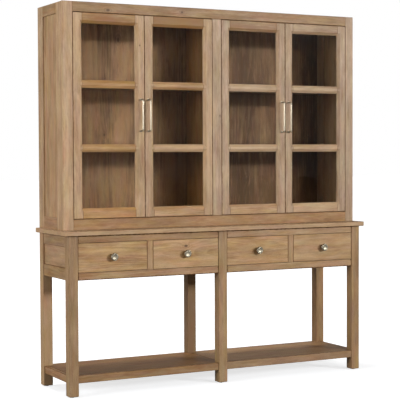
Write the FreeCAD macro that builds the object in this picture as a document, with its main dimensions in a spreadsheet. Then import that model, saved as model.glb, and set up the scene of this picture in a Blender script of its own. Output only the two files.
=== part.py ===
"""Dresser with hutch: six-legged oak base with four drawers and a glazed hutch with four doors.

Millimetres, +Z up, +X to the right seen from the front, +Y towards the wall.
The origin is on the floor, in the middle of the whole piece's width and depth.
"""
import FreeCAD, Part
import Sketcher
import os
import re

doc = FreeCAD.newDocument("dresser_with_hutch")
sheet = doc.addObject("Spreadsheet::Sheet", "Sizes")

SIZES = [
    # whole piece
    ("overall_height", 2286, "floor to the top of the hutch"),
    ("base_height", 963, "floor to the upper face of the base top"),
    # base
    ("top_width", 2068, "base top, left to right"),
    ("top_depth", 494, "base top, front to back"),
    ("top_thickness", 28, "base top"),
    ("top_edge_radius", 4, "eased edges of the base top"),
    ("top_corner_radius", 8, "rounded corners of the base top"),
    ("side_overhang", 26.5, "base top past the legs at each end"),
    ("leg_setback", 20, "front legs behind the front edge of the base top"),
    ("leg_size", 58, "square legs"),
    ("foot_chamfer", 4, "bevel round the foot of each leg"),
    ("glide_radius", 10, "nail glide under each leg"),
    ("glide_height", 5, "nail glide under each leg"),
    ("apron_height", 677, "floor to the underside of the aprons"),
    ("apron_setback", 4, "rails and drawer fronts behind the faces of the legs"),
    ("front_rail_depth", 25, "front rails and dividers, front to back"),
    ("upper_rail_height", 41, "front rail over the drawers"),
    ("lower_rail_height", 43, "front rail under the drawers"),
    ("divider_width", 37, "upright between two drawers"),
    ("end_rail_thickness", 22, "rails at the ends of the base"),
    ("end_upper_rail_height", 67, "upper rail at each end"),
    ("end_lower_rail_height", 71, "lower rail at each end"),
    ("panel_thickness", 9, "framed panels"),
    ("panel_recess", 8, "framed panels behind the faces of their rails"),
    ("panel_tongue", 6, "edge of a panel inside its rail or stile"),
    ("back_apron_thickness", 15, "board across the back"),
    ("back_setback", 5, "back boards in from the rearmost face"),
    # lower shelf
    ("shelf_height", 128, "floor to the upper face of the lower shelf"),
    ("shelf_rail_height", 46, "rails round the lower shelf"),
    ("shelf_rail_thickness", 22, "rails round the lower shelf"),
    ("shelf_setback", 6, "shelf rails behind the faces of the legs"),
    ("shelf_board_thickness", 18, "boards of the lower shelf"),
    # drawers
    ("drawer_gap", 2, "round each drawer front"),
    ("drawer_front_thickness", 20, "drawer front"),
    ("drawer_back_gap", 30, "drawer box to the back apron"),
    ("drawer_side_thickness", 12, "drawer sides and back"),
    ("drawer_bottom_thickness", 6, "drawer bottom"),
    ("drawer_bottom_rise", 9, "drawer bottom above the lower edge of the sides"),
    ("drawer_groove", 5, "drawer bottom inside the sides"),
    ("drawer_headroom", 6, "drawer box below the top of its opening"),
    ("side_play", 1.5, "drawer box to its guide, each side"),
    ("runner_play", 0.3, "drawer box above its bearers"),
    ("bearer_thickness", 20, "bearers and kickers"),
    ("bearer_ledge", 20, "bearer past the edge of a drawer opening"),
    ("guide_height", 20, "guide strip on a bearer"),
    ("kicker_width", 60, "strip over the middle of each drawer"),
    # hutch carcass
    ("hutch_setback", 88, "hutch face behind the front edge of the base top"),
    ("hutch_width", 2015, "hutch, left to right"),
    ("face_frame_depth", 25, "face frame, front to back"),
    ("face_stile_width", 60, "outer stiles of the face frame"),
    ("centre_stile_width", 62, "centre stile of the face frame"),
    ("face_top_rail_height", 59, "top rail of the face frame"),
    ("face_bottom_rail_height", 64, "bottom rail of the face frame"),
    ("corner_radius", 7, "rounded front corners of the hutch"),
    ("end_thickness", 22, "framed ends of the hutch"),
    ("end_stile_width", 83, "stiles of the hutch ends"),
    ("end_top_rail_height", 63, "top rail of the hutch ends"),
    ("end_bottom_rail_height", 71, "bottom rail of the hutch ends"),
    ("board_thickness", 19, "hutch top, bottom, partition and shelves"),
    ("back_thickness", 9, "hutch back panels"),
    ("back_rebate", 3, "hutch back in from the rearmost face"),
    ("shelf_front_gap", 12, "hutch shelves behind the backs of the doors"),
    ("shelf_end_gap", 0.5, "hutch shelves to the walls"),
    ("pin_radius", 2.5, "shelf pins"),
    ("pin_in", 8, "shelf pin inside the wall"),
    ("pin_out", 10, "shelf pin under the shelf"),
    ("pin_inset", 37, "shelf pins from the ends of the wall"),
    # doors
    ("door_gap", 2, "round each door"),
    ("door_thickness", 22, "doors"),
    ("door_stile_width", 58, "stiles of the doors"),
    ("door_top_rail_height", 62, "top rail of the doors"),
    ("door_bottom_rail_height", 60, "bottom rail of the doors"),
    ("muntin_height", 46, "bars between the panes"),
    ("bevel_width", 16, "bevel round each pane, seen from the front"),
    ("bevel_depth", 12, "bevel round each pane, front to back"),
    ("glass_recess", 15, "glass behind the face of the door"),
    ("glass_thickness", 4, "glass"),
    ("glass_tongue", 6, "edge of a pane inside the door frame"),
    ("glass_play", 0.2, "glass in its groove"),
    # hinges and catches
    ("pivot_inset", 6, "pivot axis from the hinge edge of the door"),
    ("pivot_depth", 4.5, "pivot axis behind the face of the door"),
    ("pivot_radius", 2, "pivot pin"),
    ("pivot_play", 0.05, "pivot pin in its leaf, all round"),
    ("pivot_length", 8, "pivot pin inside the door"),
    ("pin_bore_radius", 2.5, "loose bore for the pivot pin in the wood"),
    ("pin_bore_depth", 9, "loose bore for the pivot pin in the wood"),
    ("leaf_margin", 1, "hinge leaf from the edges of the door"),
    ("leaf_length", 44, "hinge leaf"),
    ("leaf_width", 12, "hinge leaf"),
    ("leaf_thickness", 2.5, "hinge leaf"),
    ("collar_radius", 3.2, "washer on the pivot pin"),
    ("collar_play", 0.3, "washer to the door leaf"),
    ("catch_width", 36, "magnetic catch"),
    ("catch_height", 36, "magnetic catch"),
    ("catch_depth", 12, "magnetic catch"),
    ("catch_drop", 18, "magnetic catch below the top rail"),
    ("catch_play", 0.4, "magnet to the back of the door"),
    # handles
    ("pull_height", 1634, "floor to the middle of the door pulls"),
    ("pull_length", 196, "door pull, end to end"),
    ("pull_reach", 37, "door pull out from the door"),
    ("pull_radius", 5, "round bar of the door pull"),
    ("pull_bend", 12, "bends of the door pull, to the middle of the bar"),
    ("pull_offset", 5, "door pull from the middle of its stile, towards the edge where doors meet"),
    ("knob_reach", 30, "knob out from the drawer"),
    ("knob_radius", 23, "head of the knob"),
    ("knob_rim_radius", 6, "rounded rim of the knob"),
    ("knob_dish_radius", 60, "hollow of the dished face of the knob"),
    ("knob_dish_depth", 4, "dished face of the knob"),
    ("knob_neck_radius", 7, "neck of the knob"),
    ("knob_foot_radius", 10.5, "foot of the knob on the drawer front"),
    ("knob_foot_height", 3, "foot of the knob on the drawer front"),
    ("screw_radius", 2, "screws of the pulls and knobs"),
    ("screw_play", 0.05, "screw threads in the metal"),
    ("screw_bore_play", 0.5, "screws in the wood, all round"),
    ("screw_grip", 8, "screw inside the handle"),
    ("screw_head_radius", 4.5, "screw head"),
    ("screw_head_height", 2.5, "screw head"),
]
for row, (alias, number, meaning) in enumerate(SIZES, start=1):
    sheet.set(f"A{row}", meaning)
    sheet.set(f"B{row}", str(number))
    sheet.setAlias(f"B{row}", alias)
doc.recompute()

ALIASES = {alias for alias, number, meaning in SIZES}


def bound(text):
    """Give a sum of sizes as an expression on the sheet."""
    def on_sheet(word):
        return "Sizes." + word[0] if word[0] in ALIASES else word[0]

    return re.sub(r"[a-z][a-z_]*[a-z]", on_sheet, text)


def bind(thing, name, text):
    thing.setExpression(name, bound(text))


def place(thing, x, y, z):
    bind(thing, "Placement.Base.x", x)
    bind(thing, "Placement.Base.y", y)
    bind(thing, "Placement.Base.z", z)


# ---- shapes ----------------------------------------------------------------------------------
def box(name, x, y, z):
    """A square-edged board. x, y and z are each (low, high)."""
    board = doc.addObject("Part::Box", name)
    bind(board, "Length", f"({x[1]}) - ({x[0]})")
    bind(board, "Width", f"({y[1]}) - ({y[0]})")
    bind(board, "Height", f"({z[1]}) - ({z[0]})")
    place(board, x[0], y[0], z[0])
    return board


DIRECTIONS = {
    "x": FreeCAD.Rotation(FreeCAD.Vector(0, 1, 0), 90),
    "y": FreeCAD.Rotation(FreeCAD.Vector(1, 0, 0), -90),
    "z": FreeCAD.Rotation(),
}


def rod(name, radius, length, x, y, z, direction):
    """A round bar that starts at x, y, z and runs along +direction."""
    bar = doc.addObject("Part::Cylinder", name)
    bar.Placement = FreeCAD.Placement(FreeCAD.Vector(), DIRECTIONS[direction])
    bind(bar, "Radius", radius)
    bind(bar, "Height", length)
    place(bar, x, y, z)
    return bar


def cut(name, base, tools):
    """The base with every tool taken away."""
    group = doc.addObject("Part::Compound", name + "_tools")
    group.Links = tools
    result = doc.addObject("Part::Cut", name)
    result.Base = base
    result.Tool = group
    return result


def fuse(name, pieces):
    result = doc.addObject("Part::MultiFuse", name)
    result.Shapes = pieces
    return result


def padded_board(name, x, y, z):
    """A board as a body: a rectangle on the floor plane, padded upwards."""
    body = doc.addObject("PartDesign::Body", name)
    plane = [item for item in body.Origin.OriginFeatures if item.Role == "XY_Plane"][0]
    sketch = body.newObject("Sketcher::SketchObject", name + "_outline")
    sketch.AttachmentSupport = [(plane, "")]
    sketch.MapMode = "FlatFace"
    corners = [(0, 0), (100, 0), (100, 50), (0, 50)]
    for index, corner in enumerate(corners):
        start = FreeCAD.Vector(*corner, 0)
        end = FreeCAD.Vector(*corners[(index + 1) % 4], 0)
        sketch.addGeometry(Part.LineSegment(start, end), False)
    for index in range(4):
        sketch.addConstraint(Sketcher.Constraint("Coincident", index, 2, (index + 1) % 4, 1))
    for line in (0, 2):
        sketch.addConstraint(Sketcher.Constraint("Horizontal", line))
    for line in (1, 3):
        sketch.addConstraint(Sketcher.Constraint("Vertical", line))
    sketch.addConstraint(Sketcher.Constraint("Coincident", 0, 1, -1, 1))
    length = sketch.addConstraint(Sketcher.Constraint("DistanceX", 0, 1, 0, 2, 100))
    width = sketch.addConstraint(Sketcher.Constraint("DistanceY", 1, 1, 1, 2, 50))
    sketch.renameConstraint(length, "length")
    sketch.renameConstraint(width, "width")
    bind(sketch, "Constraints.length", f"({x[1]}) - ({x[0]})")
    bind(sketch, "Constraints.width", f"({y[1]}) - ({y[0]})")
    pad = body.newObject("PartDesign::Pad", name + "_pad")
    pad.Profile = sketch
    bind(pad, "Length", f"({z[1]}) - ({z[0]})")
    place(body, x[0], y[0], z[0])
    doc.recompute()
    return body


def edge_names(feature, wanted):
    """Names of the feature's edges for which wanted(middle, direction, bounds) holds."""
    bounds = feature.Shape.BoundBox
    names = []
    for index, edge in enumerate(feature.Shape.Edges, start=1):
        middle = edge.CenterOfMass
        direction = edge.tangentAt(edge.FirstParameter)
        if wanted(middle, direction, bounds):
            names.append(f"Edge{index}")
    return names


def ease(body, name, kind, property_name, size, wanted):
    """A fillet or chamfer on the chosen edges of the body's last feature."""
    base = body.Tip
    feature = body.newObject(kind, name)
    feature.Base = (base, edge_names(base, wanted))
    bind(feature, property_name, size)
    body.Tip = feature
    doc.recompute()


nodes = []


def node(name, pieces):
    """One named sub-part; like pieces that share a node stay separate solids."""
    if len(pieces) == 1:
        part = pieces[0]
    else:
        part = doc.addObject("Part::Compound", name)
        part.Links = pieces
    part.Label = name
    nodes.append(part)


# ---- places that several pieces share --------------------------------------------------------
KNOB_OVERHANG = "(knob_reach - leg_setback - apron_setback)"
TOP_FRONT = f"((-1) * (top_depth + {KNOB_OVERHANG}) / 2 + {KNOB_OVERHANG})"
BACK = f"({TOP_FRONT} + top_depth)"
LEG_FRONT = f"({TOP_FRONT} + leg_setback)"
LEG_FRONT_END = f"({LEG_FRONT} + leg_size)"
LEG_BACK_START = f"({BACK} - leg_size)"
DRAWER_FACE = f"({LEG_FRONT} + apron_setback)"
FRONT_RAIL_BACK = f"({DRAWER_FACE} + front_rail_depth)"
BACK_APRON_BACK = f"({BACK} - back_setback)"
BACK_APRON_FRONT = f"({BACK_APRON_BACK} - back_apron_thickness)"
UNDER_TOP = "(base_height - top_thickness)"
HALF_BASE = "(top_width / 2 - side_overhang)"
LEG_INNER = f"({HALF_BASE} - leg_size)"
HALF_LEG = "(leg_size / 2)"
OPENING_BOTTOM = "(apron_height + lower_rail_height)"
OPENING_TOP = f"({UNDER_TOP} - upper_rail_height)"
BAY_CENTRE = f"(({LEG_INNER} + {HALF_LEG}) / 2)"
BAY_INNER_EDGE = f"({BAY_CENTRE} - divider_width / 2)"
BAY_OUTER_EDGE = f"({BAY_CENTRE} + divider_width / 2)"

SIDES = (("left", -1), ("right", 1))


def mirrored(side, near, far):
    """The (low, high) pair for a stretch from near to far, measured from the middle plane."""
    if side > 0:
        return (near, far)
    return (f"(-1) * ({far})", f"(-1) * ({near})")


def along(direction):
    """Edges that run along a direction, given as a unit vector."""
    return lambda middle, tangent, bounds: abs(tangent.dot(direction)) > 0.999


UP = FreeCAD.Vector(0, 0, 1)
DOWN = FreeCAD.Vector(0, 0, -1)
FORWARD = FreeCAD.Vector(0, -1, 0)
LEFT = FreeCAD.Vector(-1, 0, 0)


# ---- base: legs and glides -------------------------------------------------------------------
LEG_X = {
    "left": ("(-1) * " + HALF_BASE, "(-1) * " + LEG_INNER),
    "middle": ("(-1) * " + HALF_LEG, HALF_LEG),
    "right": (LEG_INNER, HALF_BASE),
}
LEG_Y = {"front": (LEG_FRONT, LEG_FRONT_END), "back": (LEG_BACK_START, BACK)}
glides = []
for row_name, leg_y in LEG_Y.items():
    for column_name, leg_x in LEG_X.items():
        leg_name = f"leg_{row_name}_{column_name}"
        leg = padded_board(leg_name, leg_x, leg_y, ("glide_height", UNDER_TOP))
        ease(leg, leg_name + "_foot", "PartDesign::Chamfer", "Size", "foot_chamfer",
             lambda middle, tangent, bounds: abs(middle.z - bounds.ZMin) < 0.01)
        node(leg_name, [leg])
        glides.append(rod(f"glide_{row_name}_{column_name}", "glide_radius", "glide_height",
                          f"{leg_x[0]} + {HALF_LEG}", f"{leg_y[0]} + {HALF_LEG}", "0", "z"))
node("leg_glides", glides)

# ---- base: lower shelf, rails between the legs with boards let in flush ----------------------
shelf_z = ("shelf_height - shelf_rail_height", "shelf_height")
SHELF_FRONT = f"({LEG_FRONT} + shelf_setback)"
SHELF_FRONT_INNER = f"({SHELF_FRONT} + shelf_rail_thickness)"
SHELF_BACK = f"({BACK} - shelf_setback)"
SHELF_BACK_INNER = f"({SHELF_BACK} - shelf_rail_thickness)"
SHELF_END = f"({HALF_BASE} - shelf_setback)"
SHELF_END_INNER = f"({SHELF_END} - shelf_rail_thickness)"
SHELF_BOARD_UNDER = "(shelf_height - shelf_board_thickness)"
between_legs = (LEG_FRONT_END, LEG_BACK_START)
shelf_rails = []
shelf_boards = []
for side_name, side in SIDES:
    span = mirrored(side, HALF_LEG, LEG_INNER)
    shelf_rails.append(box(f"shelf_front_rail_{side_name}", span,
                           (SHELF_FRONT, SHELF_FRONT_INNER), shelf_z))
    shelf_rails.append(box(f"shelf_back_rail_{side_name}", span,
                           (SHELF_BACK_INNER, SHELF_BACK), shelf_z))
    shelf_rails.append(box(f"shelf_end_rail_{side_name}", mirrored(side, SHELF_END_INNER, SHELF_END),
                           between_legs, shelf_z))
    board_z = (SHELF_BOARD_UNDER, "shelf_height")
    blank = box(f"shelf_blank_{side_name}", mirrored(side, "0", SHELF_END_INNER),
                (SHELF_FRONT_INNER, SHELF_BACK_INNER), board_z)
    notches = []
    for notch_name, notch_x in (("inner", ("0", HALF_LEG)), ("outer", (LEG_INNER, HALF_BASE))):
        for notch_end, notch_y in LEG_Y.items():
            notches.append(box(f"notch_{side_name}_{notch_name}_{notch_end}",
                               mirrored(side, *notch_x), notch_y, board_z))
    shelf_boards.append(cut(f"shelf_board_{side_name}", blank, notches))
cross_rail_x = ("(-1) * shelf_rail_thickness / 2", "shelf_rail_thickness / 2")
shelf_rails.append(box("shelf_cross_rail", cross_rail_x, between_legs, (shelf_z[0], SHELF_BOARD_UNDER)))
node("lower_shelf_rails", shelf_rails)
node("lower_shelf_boards", shelf_boards)

# ---- base: front rails and dividers round the drawers ----------------------------------------
front_y = (DRAWER_FACE, FRONT_RAIL_BACK)
face_pieces = []
for side_name, side in SIDES:
    span = mirrored(side, HALF_LEG, LEG_INNER)
    face_pieces.append(box(f"upper_rail_{side_name}", span, front_y, (OPENING_TOP, UNDER_TOP)))
    face_pieces.append(box(f"lower_rail_{side_name}", span, front_y, ("apron_height", OPENING_BOTTOM)))
    face_pieces.append(box(f"divider_{side_name}", mirrored(side, BAY_INNER_EDGE, BAY_OUTER_EDGE),
                           front_y, (OPENING_BOTTOM, OPENING_TOP)))
node("drawer_face_frame", face_pieces)

# ---- base: bearers that the drawers run on, with guides, and kickers over them ---------------
END_INNER = f"({HALF_BASE} - apron_setback - end_rail_thickness)"
bearer_z = (f"{OPENING_BOTTOM} - bearer_thickness", OPENING_BOTTOM)
guide_z = (OPENING_BOTTOM, f"{OPENING_BOTTOM} + guide_height")
kicker_z = (OPENING_TOP, f"{OPENING_TOP} + bearer_thickness")
full_depth = (FRONT_RAIL_BACK, BACK_APRON_FRONT)
bearers = []
for side_name, side in SIDES:
    plate = box(f"end_plate_{side_name}", mirrored(side, f"{LEG_INNER} - bearer_ledge", END_INNER),
                between_legs, bearer_z)
    guide = box(f"end_guide_{side_name}", mirrored(side, LEG_INNER, END_INNER), between_legs, guide_z)
    bearers.append(fuse(f"end_bearer_{side_name}", [plate, guide]))
    plate = box(f"divider_plate_{side_name}",
                mirrored(side, f"{BAY_INNER_EDGE} - bearer_ledge", f"{BAY_OUTER_EDGE} + bearer_ledge"),
                full_depth, bearer_z)
    guide = box(f"divider_guide_{side_name}", mirrored(side, BAY_INNER_EDGE, BAY_OUTER_EDGE),
                full_depth, guide_z)
    bearers.append(fuse(f"divider_bearer_{side_name}", [plate, guide]))
plate = box("middle_plate", (f"(-1) * ({HALF_LEG} + bearer_ledge)", f"{HALF_LEG} + bearer_ledge"),
            between_legs, bearer_z)
guide = box("middle_guide", ("(-1) * " + HALF_LEG, HALF_LEG), between_legs, guide_z)
bearers.append(fuse("middle_bearer", [plate, guide]))
DRAWER_SPANS = [
    mirrored(-1, BAY_OUTER_EDGE, LEG_INNER),
    mirrored(-1, HALF_LEG, BAY_INNER_EDGE),
    mirrored(1, HALF_LEG, BAY_INNER_EDGE),
    mirrored(1, BAY_OUTER_EDGE, LEG_INNER),
]
for number, span in enumerate(DRAWER_SPANS, start=1):
    middle = f"(({span[0]}) + ({span[1]})) / 2"
    kicker_x = (f"{middle} - kicker_width / 2", f"{middle} + kicker_width / 2")
    bearers.append(box(f"kicker_{number}", kicker_x, full_depth, kicker_z))
node("drawer_bearers", bearers)

# ---- base: framed ends and the boards across the back ----------------------------------------
end_rails = []
end_panels = []
back_aprons = []
END_FACE = f"({HALF_BASE} - apron_setback)"
for side_name, side in SIDES:
    rail_x = mirrored(side, END_INNER, END_FACE)
    upper = box(f"end_upper_blank_{side_name}", rail_x, between_legs,
                (f"{UNDER_TOP} - end_upper_rail_height", UNDER_TOP))
    lower = box(f"end_lower_blank_{side_name}", rail_x, between_legs,
                ("apron_height", "apron_height + end_lower_rail_height"))
    panel_face = f"{END_FACE} - panel_recess"
    panel = box(f"base_end_panel_{side_name}",
                mirrored(side, f"{panel_face} - panel_thickness", panel_face),
                between_legs,
                ("apron_height + end_lower_rail_height - panel_tongue",
                 f"{UNDER_TOP} - end_upper_rail_height + panel_tongue"))
    end_rails.append(cut(f"end_upper_rail_{side_name}", upper, [panel]))
    end_rails.append(cut(f"end_lower_rail_{side_name}", lower, [panel]))
    end_panels.append(panel)
    back_aprons.append(box(f"back_apron_{side_name}", mirrored(side, HALF_LEG, LEG_INNER),
                           (BACK_APRON_FRONT, BACK_APRON_BACK), ("apron_height", UNDER_TOP)))
node("base_end_rails", end_rails)
node("base_end_panels", end_panels)
node("base_back_aprons", back_aprons)

# ---- base: top -------------------------------------------------------------------------------
base_top = padded_board("base_top", ("(-1) * top_width / 2", "top_width / 2"), (TOP_FRONT, BACK),
                        (UNDER_TOP, "base_height"))
ease(base_top, "base_top_corners", "PartDesign::Fillet", "Radius", "top_corner_radius", along(UP))
ease(base_top, "base_top_edges", "PartDesign::Fillet", "Radius", "top_edge_radius",
     lambda middle, tangent, bounds: abs(tangent.z) < 0.01)
node("base_top", [base_top])

# ---- hutch: places ---------------------------------------------------------------------------
HUTCH_FRONT = f"({TOP_FRONT} + hutch_setback)"
FRAME_BACK = f"({HUTCH_FRONT} + face_frame_depth)"
HALF_HUTCH = "(hutch_width / 2)"
WALL = f"({HALF_HUTCH} - end_thickness)"
HALF_BOARD = "(board_thickness / 2)"
BACK_PANEL_FRONT = f"({BACK} - back_rebate - back_thickness)"
FLOOR = "(base_height + face_bottom_rail_height)"
CEILING = "(overall_height - face_top_rail_height)"
UNDER_ROOF = "(overall_height - board_thickness)"
FACE_INNER = f"({HALF_HUTCH} - face_stile_width)"
HALF_CENTRE = "(centre_stile_width / 2)"
DOOR_WIDTH = f"(({FACE_INNER} - {HALF_CENTRE} - 3 * door_gap) / 2)"
DOOR_BOTTOM = f"({FLOOR} + door_gap)"
DOOR_TOP = f"({CEILING} - door_gap)"
DOOR_BACK = f"({HUTCH_FRONT} + door_thickness)"
PANE_HEIGHT = (f"(({DOOR_TOP} - {DOOR_BOTTOM} - door_top_rail_height - door_bottom_rail_height"
               " - 2 * muntin_height) / 3)")

# left edge of each door, and the side its hinges are on
DOORS = [
    (f"((-1) * {FACE_INNER} + door_gap)", -1),
    (f"((-1) * {HALF_CENTRE} - door_gap - {DOOR_WIDTH})", 1),
    (f"({HALF_CENTRE} + door_gap)", -1),
    (f"({FACE_INNER} - door_gap - {DOOR_WIDTH})", 1),
]


def from_hinge(left_edge, hinge_side, near, far):
    """The (low, high) pair for a stretch measured from a door's hinge edge."""
    if hinge_side < 0:
        return (f"{left_edge} + {near}", f"{left_edge} + {far}")
    return (f"{left_edge} + {DOOR_WIDTH} - ({far})", f"{left_edge} + {DOOR_WIDTH} - ({near})")


def from_meeting_edge(left_edge, hinge_side, near, far):
    """The (low, high) pair for a stretch measured from the edge where two doors meet."""
    return from_hinge(left_edge, -hinge_side, near, far)


# ---- hutch: hinge pivots let into the face frame, one over and one under each door -----------
PIVOT_Y = f"({HUTCH_FRONT} + pivot_depth)"
leaf_y = (f"{HUTCH_FRONT} + leaf_margin", f"{HUTCH_FRONT} + leaf_margin + leaf_width")
COLLAR_HEIGHT = "(door_gap - collar_play)"
pivots = []
for number, (left_edge, hinge_side) in enumerate(DOORS, start=1):
    leaf_x = from_hinge(left_edge, hinge_side, "leaf_margin", "(leaf_margin + leaf_length)")
    pivot_x = from_hinge(left_edge, hinge_side, "pivot_inset", "pivot_inset")[0]
    top_plate = box(f"pivot_plate_top_{number}", leaf_x, leaf_y, (CEILING, f"{CEILING} + leaf_thickness"))
    top_pin = rod(f"pivot_pin_top_{number}", "pivot_radius", "door_gap + pivot_length",
                  pivot_x, PIVOT_Y, f"{CEILING} - door_gap - pivot_length", "z")
    top_collar = rod(f"pivot_collar_top_{number}", "collar_radius", COLLAR_HEIGHT,
                     pivot_x, PIVOT_Y, f"{CEILING} - {COLLAR_HEIGHT}", "z")
    pivots.append(fuse(f"pivot_top_{number}", [top_plate, top_pin, top_collar]))
    bottom_plate = box(f"pivot_plate_bottom_{number}", leaf_x, leaf_y,
                       (f"{FLOOR} - leaf_thickness", FLOOR))
    bottom_pin = rod(f"pivot_pin_bottom_{number}", "pivot_radius", "door_gap + pivot_length",
                     pivot_x, PIVOT_Y, FLOOR, "z")
    bottom_collar = rod(f"pivot_collar_bottom_{number}", "collar_radius", COLLAR_HEIGHT,
                        pivot_x, PIVOT_Y, FLOOR, "z")
    pivots.append(fuse(f"pivot_bottom_{number}", [bottom_plate, bottom_pin, bottom_collar]))
node("hinge_pivots", pivots)

# ---- hutch: face frame -----------------------------------------------------------------------
frame_y = (HUTCH_FRONT, FRAME_BACK)
face_stiles = []
for side_name, side in SIDES:
    stile = padded_board(f"face_stile_{side_name}", mirrored(side, FACE_INNER, HALF_HUTCH), frame_y,
                         ("base_height", "overall_height"))
    ease(stile, f"face_stile_{side_name}_corner", "PartDesign::Fillet", "Radius", "corner_radius",
         lambda middle, tangent, bounds: (abs(tangent.z) > 0.999 and middle.y < bounds.Center.y
                                          and (middle.x - bounds.Center.x) * side > 0))
    face_stiles.append(stile)
face_stiles.append(box("face_stile_centre", ("(-1) * " + HALF_CENTRE, HALF_CENTRE), frame_y,
                       (FLOOR, CEILING)))
node("face_frame_stiles", face_stiles)

rail_span = ("(-1) * " + FACE_INNER, FACE_INNER)
face_rails = []
face_rail_zs = (
    ("bottom", ("base_height", FLOOR), (f"{FLOOR} - leaf_thickness", FLOOR)),
    ("top", (CEILING, "overall_height"), (CEILING, f"{CEILING} + leaf_thickness")),
)
for rail_name, rail_z, pocket_z in face_rail_zs:
    blank = box(f"face_rail_blank_{rail_name}", rail_span, frame_y, rail_z)
    pockets = []
    for number, (left_edge, hinge_side) in enumerate(DOORS, start=1):
        leaf_x = from_hinge(left_edge, hinge_side, "leaf_margin", "(leaf_margin + leaf_length)")
        pockets.append(box(f"pivot_pocket_{rail_name}_{number}", leaf_x, leaf_y, pocket_z))
    face_rails.append(cut(f"face_rail_{rail_name}", blank, pockets))
node("face_frame_rails", face_rails)

# ---- hutch: shelf heights and the bores for the shelf pins -----------------------------------
SHELF_UNDERSIDES = []
for level in (1, 2):
    muntin_middle = (f"{DOOR_BOTTOM} + door_bottom_rail_height + {level} * {PANE_HEIGHT}"
                     f" + ({level} - 0.5) * muntin_height")
    SHELF_UNDERSIDES.append(f"({muntin_middle} - {HALF_BOARD})")
PIN_YS = (f"({FRAME_BACK} + pin_inset)", f"({BACK_PANEL_FRONT} - pin_inset)")


def pins_at(name, x):
    """A row of round bars along X at every place that a shelf rests on."""
    bars = []
    for level, underside in enumerate(SHELF_UNDERSIDES, start=1):
        for place_number, pin_y in enumerate(PIN_YS, start=1):
            bars.append(rod(f"{name}_{level}_{place_number}", "pin_radius", f"({x[1]}) - ({x[0]})",
                            x[0], pin_y, f"{underside} - pin_radius", "x"))
    return bars


pins = []
for side_name, side in SIDES:
    pins += pins_at(f"wall_pin_{side_name}", mirrored(side, f"{WALL} - pin_out", f"{WALL} + pin_in"))
    pins += pins_at(f"partition_pin_{side_name}",
                    mirrored(side, f"{HALF_BOARD} - pin_in", f"{HALF_BOARD} + pin_out"))
node("shelf_pins", pins)

# ---- hutch: framed ends ----------------------------------------------------------------------
FRONT_STILE_END = f"({FRAME_BACK} + end_stile_width)"
BACK_STILE_START = f"({BACK} - end_stile_width)"
END_PANEL_FACE = f"({HALF_HUTCH} - panel_recess)"
end_stile_ys = (("front", (FRAME_BACK, FRONT_STILE_END)), ("back", (BACK_STILE_START, BACK)))
end_rail_zs = (
    ("bottom", ("base_height", "base_height + end_bottom_rail_height")),
    ("top", ("overall_height - end_top_rail_height", "overall_height")),
)
end_stiles = []
hutch_end_rails = []
hutch_end_panels = []
for side_name, side in SIDES:
    end_x = mirrored(side, WALL, HALF_HUTCH)
    panel = box(f"hutch_end_panel_{side_name}",
                mirrored(side, f"{END_PANEL_FACE} - panel_thickness", END_PANEL_FACE),
                (f"{FRONT_STILE_END} - panel_tongue", f"{BACK_STILE_START} + panel_tongue"),
                ("base_height + end_bottom_rail_height - panel_tongue",
                 "overall_height - end_top_rail_height + panel_tongue"))
    bores = pins_at(f"pin_bore_{side_name}", mirrored(side, WALL, f"{WALL} + pin_in"))
    for stile_name, stile_y in end_stile_ys:
        blank = box(f"end_stile_blank_{stile_name}_{side_name}", end_x, stile_y,
                    ("base_height", "overall_height"))
        end_stiles.append(cut(f"end_stile_{stile_name}_{side_name}", blank, [panel] + bores))
    rail_y = (FRONT_STILE_END, BACK_STILE_START)
    for rail_name, rail_z in end_rail_zs:
        blank = box(f"end_rail_blank_{rail_name}_{side_name}", end_x, rail_y, rail_z)
        hutch_end_rails.append(cut(f"end_rail_{rail_name}_{side_name}", blank, [panel]))
    hutch_end_panels.append(panel)
node("hutch_end_stiles", end_stiles)
node("hutch_end_rails", hutch_end_rails)
node("hutch_end_panels", hutch_end_panels)

# ---- hutch: top, bottom, partition, back and shelves -----------------------------------------
inside_x = ("(-1) * " + WALL, WALL)
inside_y = (FRAME_BACK, BACK_PANEL_FRONT)
node("hutch_top", [box("hutch_top", inside_x, inside_y, (UNDER_ROOF, "overall_height"))])
node("hutch_bottom", [box("hutch_bottom", inside_x, inside_y, (f"{FLOOR} - board_thickness", FLOOR))])
partition_blank = box("partition_blank", ("(-1) * " + HALF_BOARD, HALF_BOARD), inside_y,
                      (FLOOR, UNDER_ROOF))
partition_bores = []
for side_name, side in SIDES:
    partition_bores += pins_at(f"partition_bore_{side_name}",
                               mirrored(side, f"{HALF_BOARD} - pin_in", HALF_BOARD))
node("hutch_partition", [cut("hutch_partition", partition_blank, partition_bores)])
panel_y = (BACK_PANEL_FRONT, f"{BACK} - back_rebate")
back_panels = []
shelves = []
for side_name, side in SIDES:
    back_panels.append(box(f"back_panel_{side_name}", mirrored(side, "0", WALL), panel_y,
                           ("base_height", "overall_height")))
    for level, underside in enumerate(SHELF_UNDERSIDES, start=1):
        shelves.append(box(f"shelf_{side_name}_{level}",
                           mirrored(side, f"{HALF_BOARD} + shelf_end_gap", f"{WALL} - shelf_end_gap"),
                           (f"{DOOR_BACK} + shelf_front_gap", BACK_PANEL_FRONT),
                           (underside, f"{underside} + board_thickness")))
node("hutch_back_panels", back_panels)
node("hutch_shelves", shelves)

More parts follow.
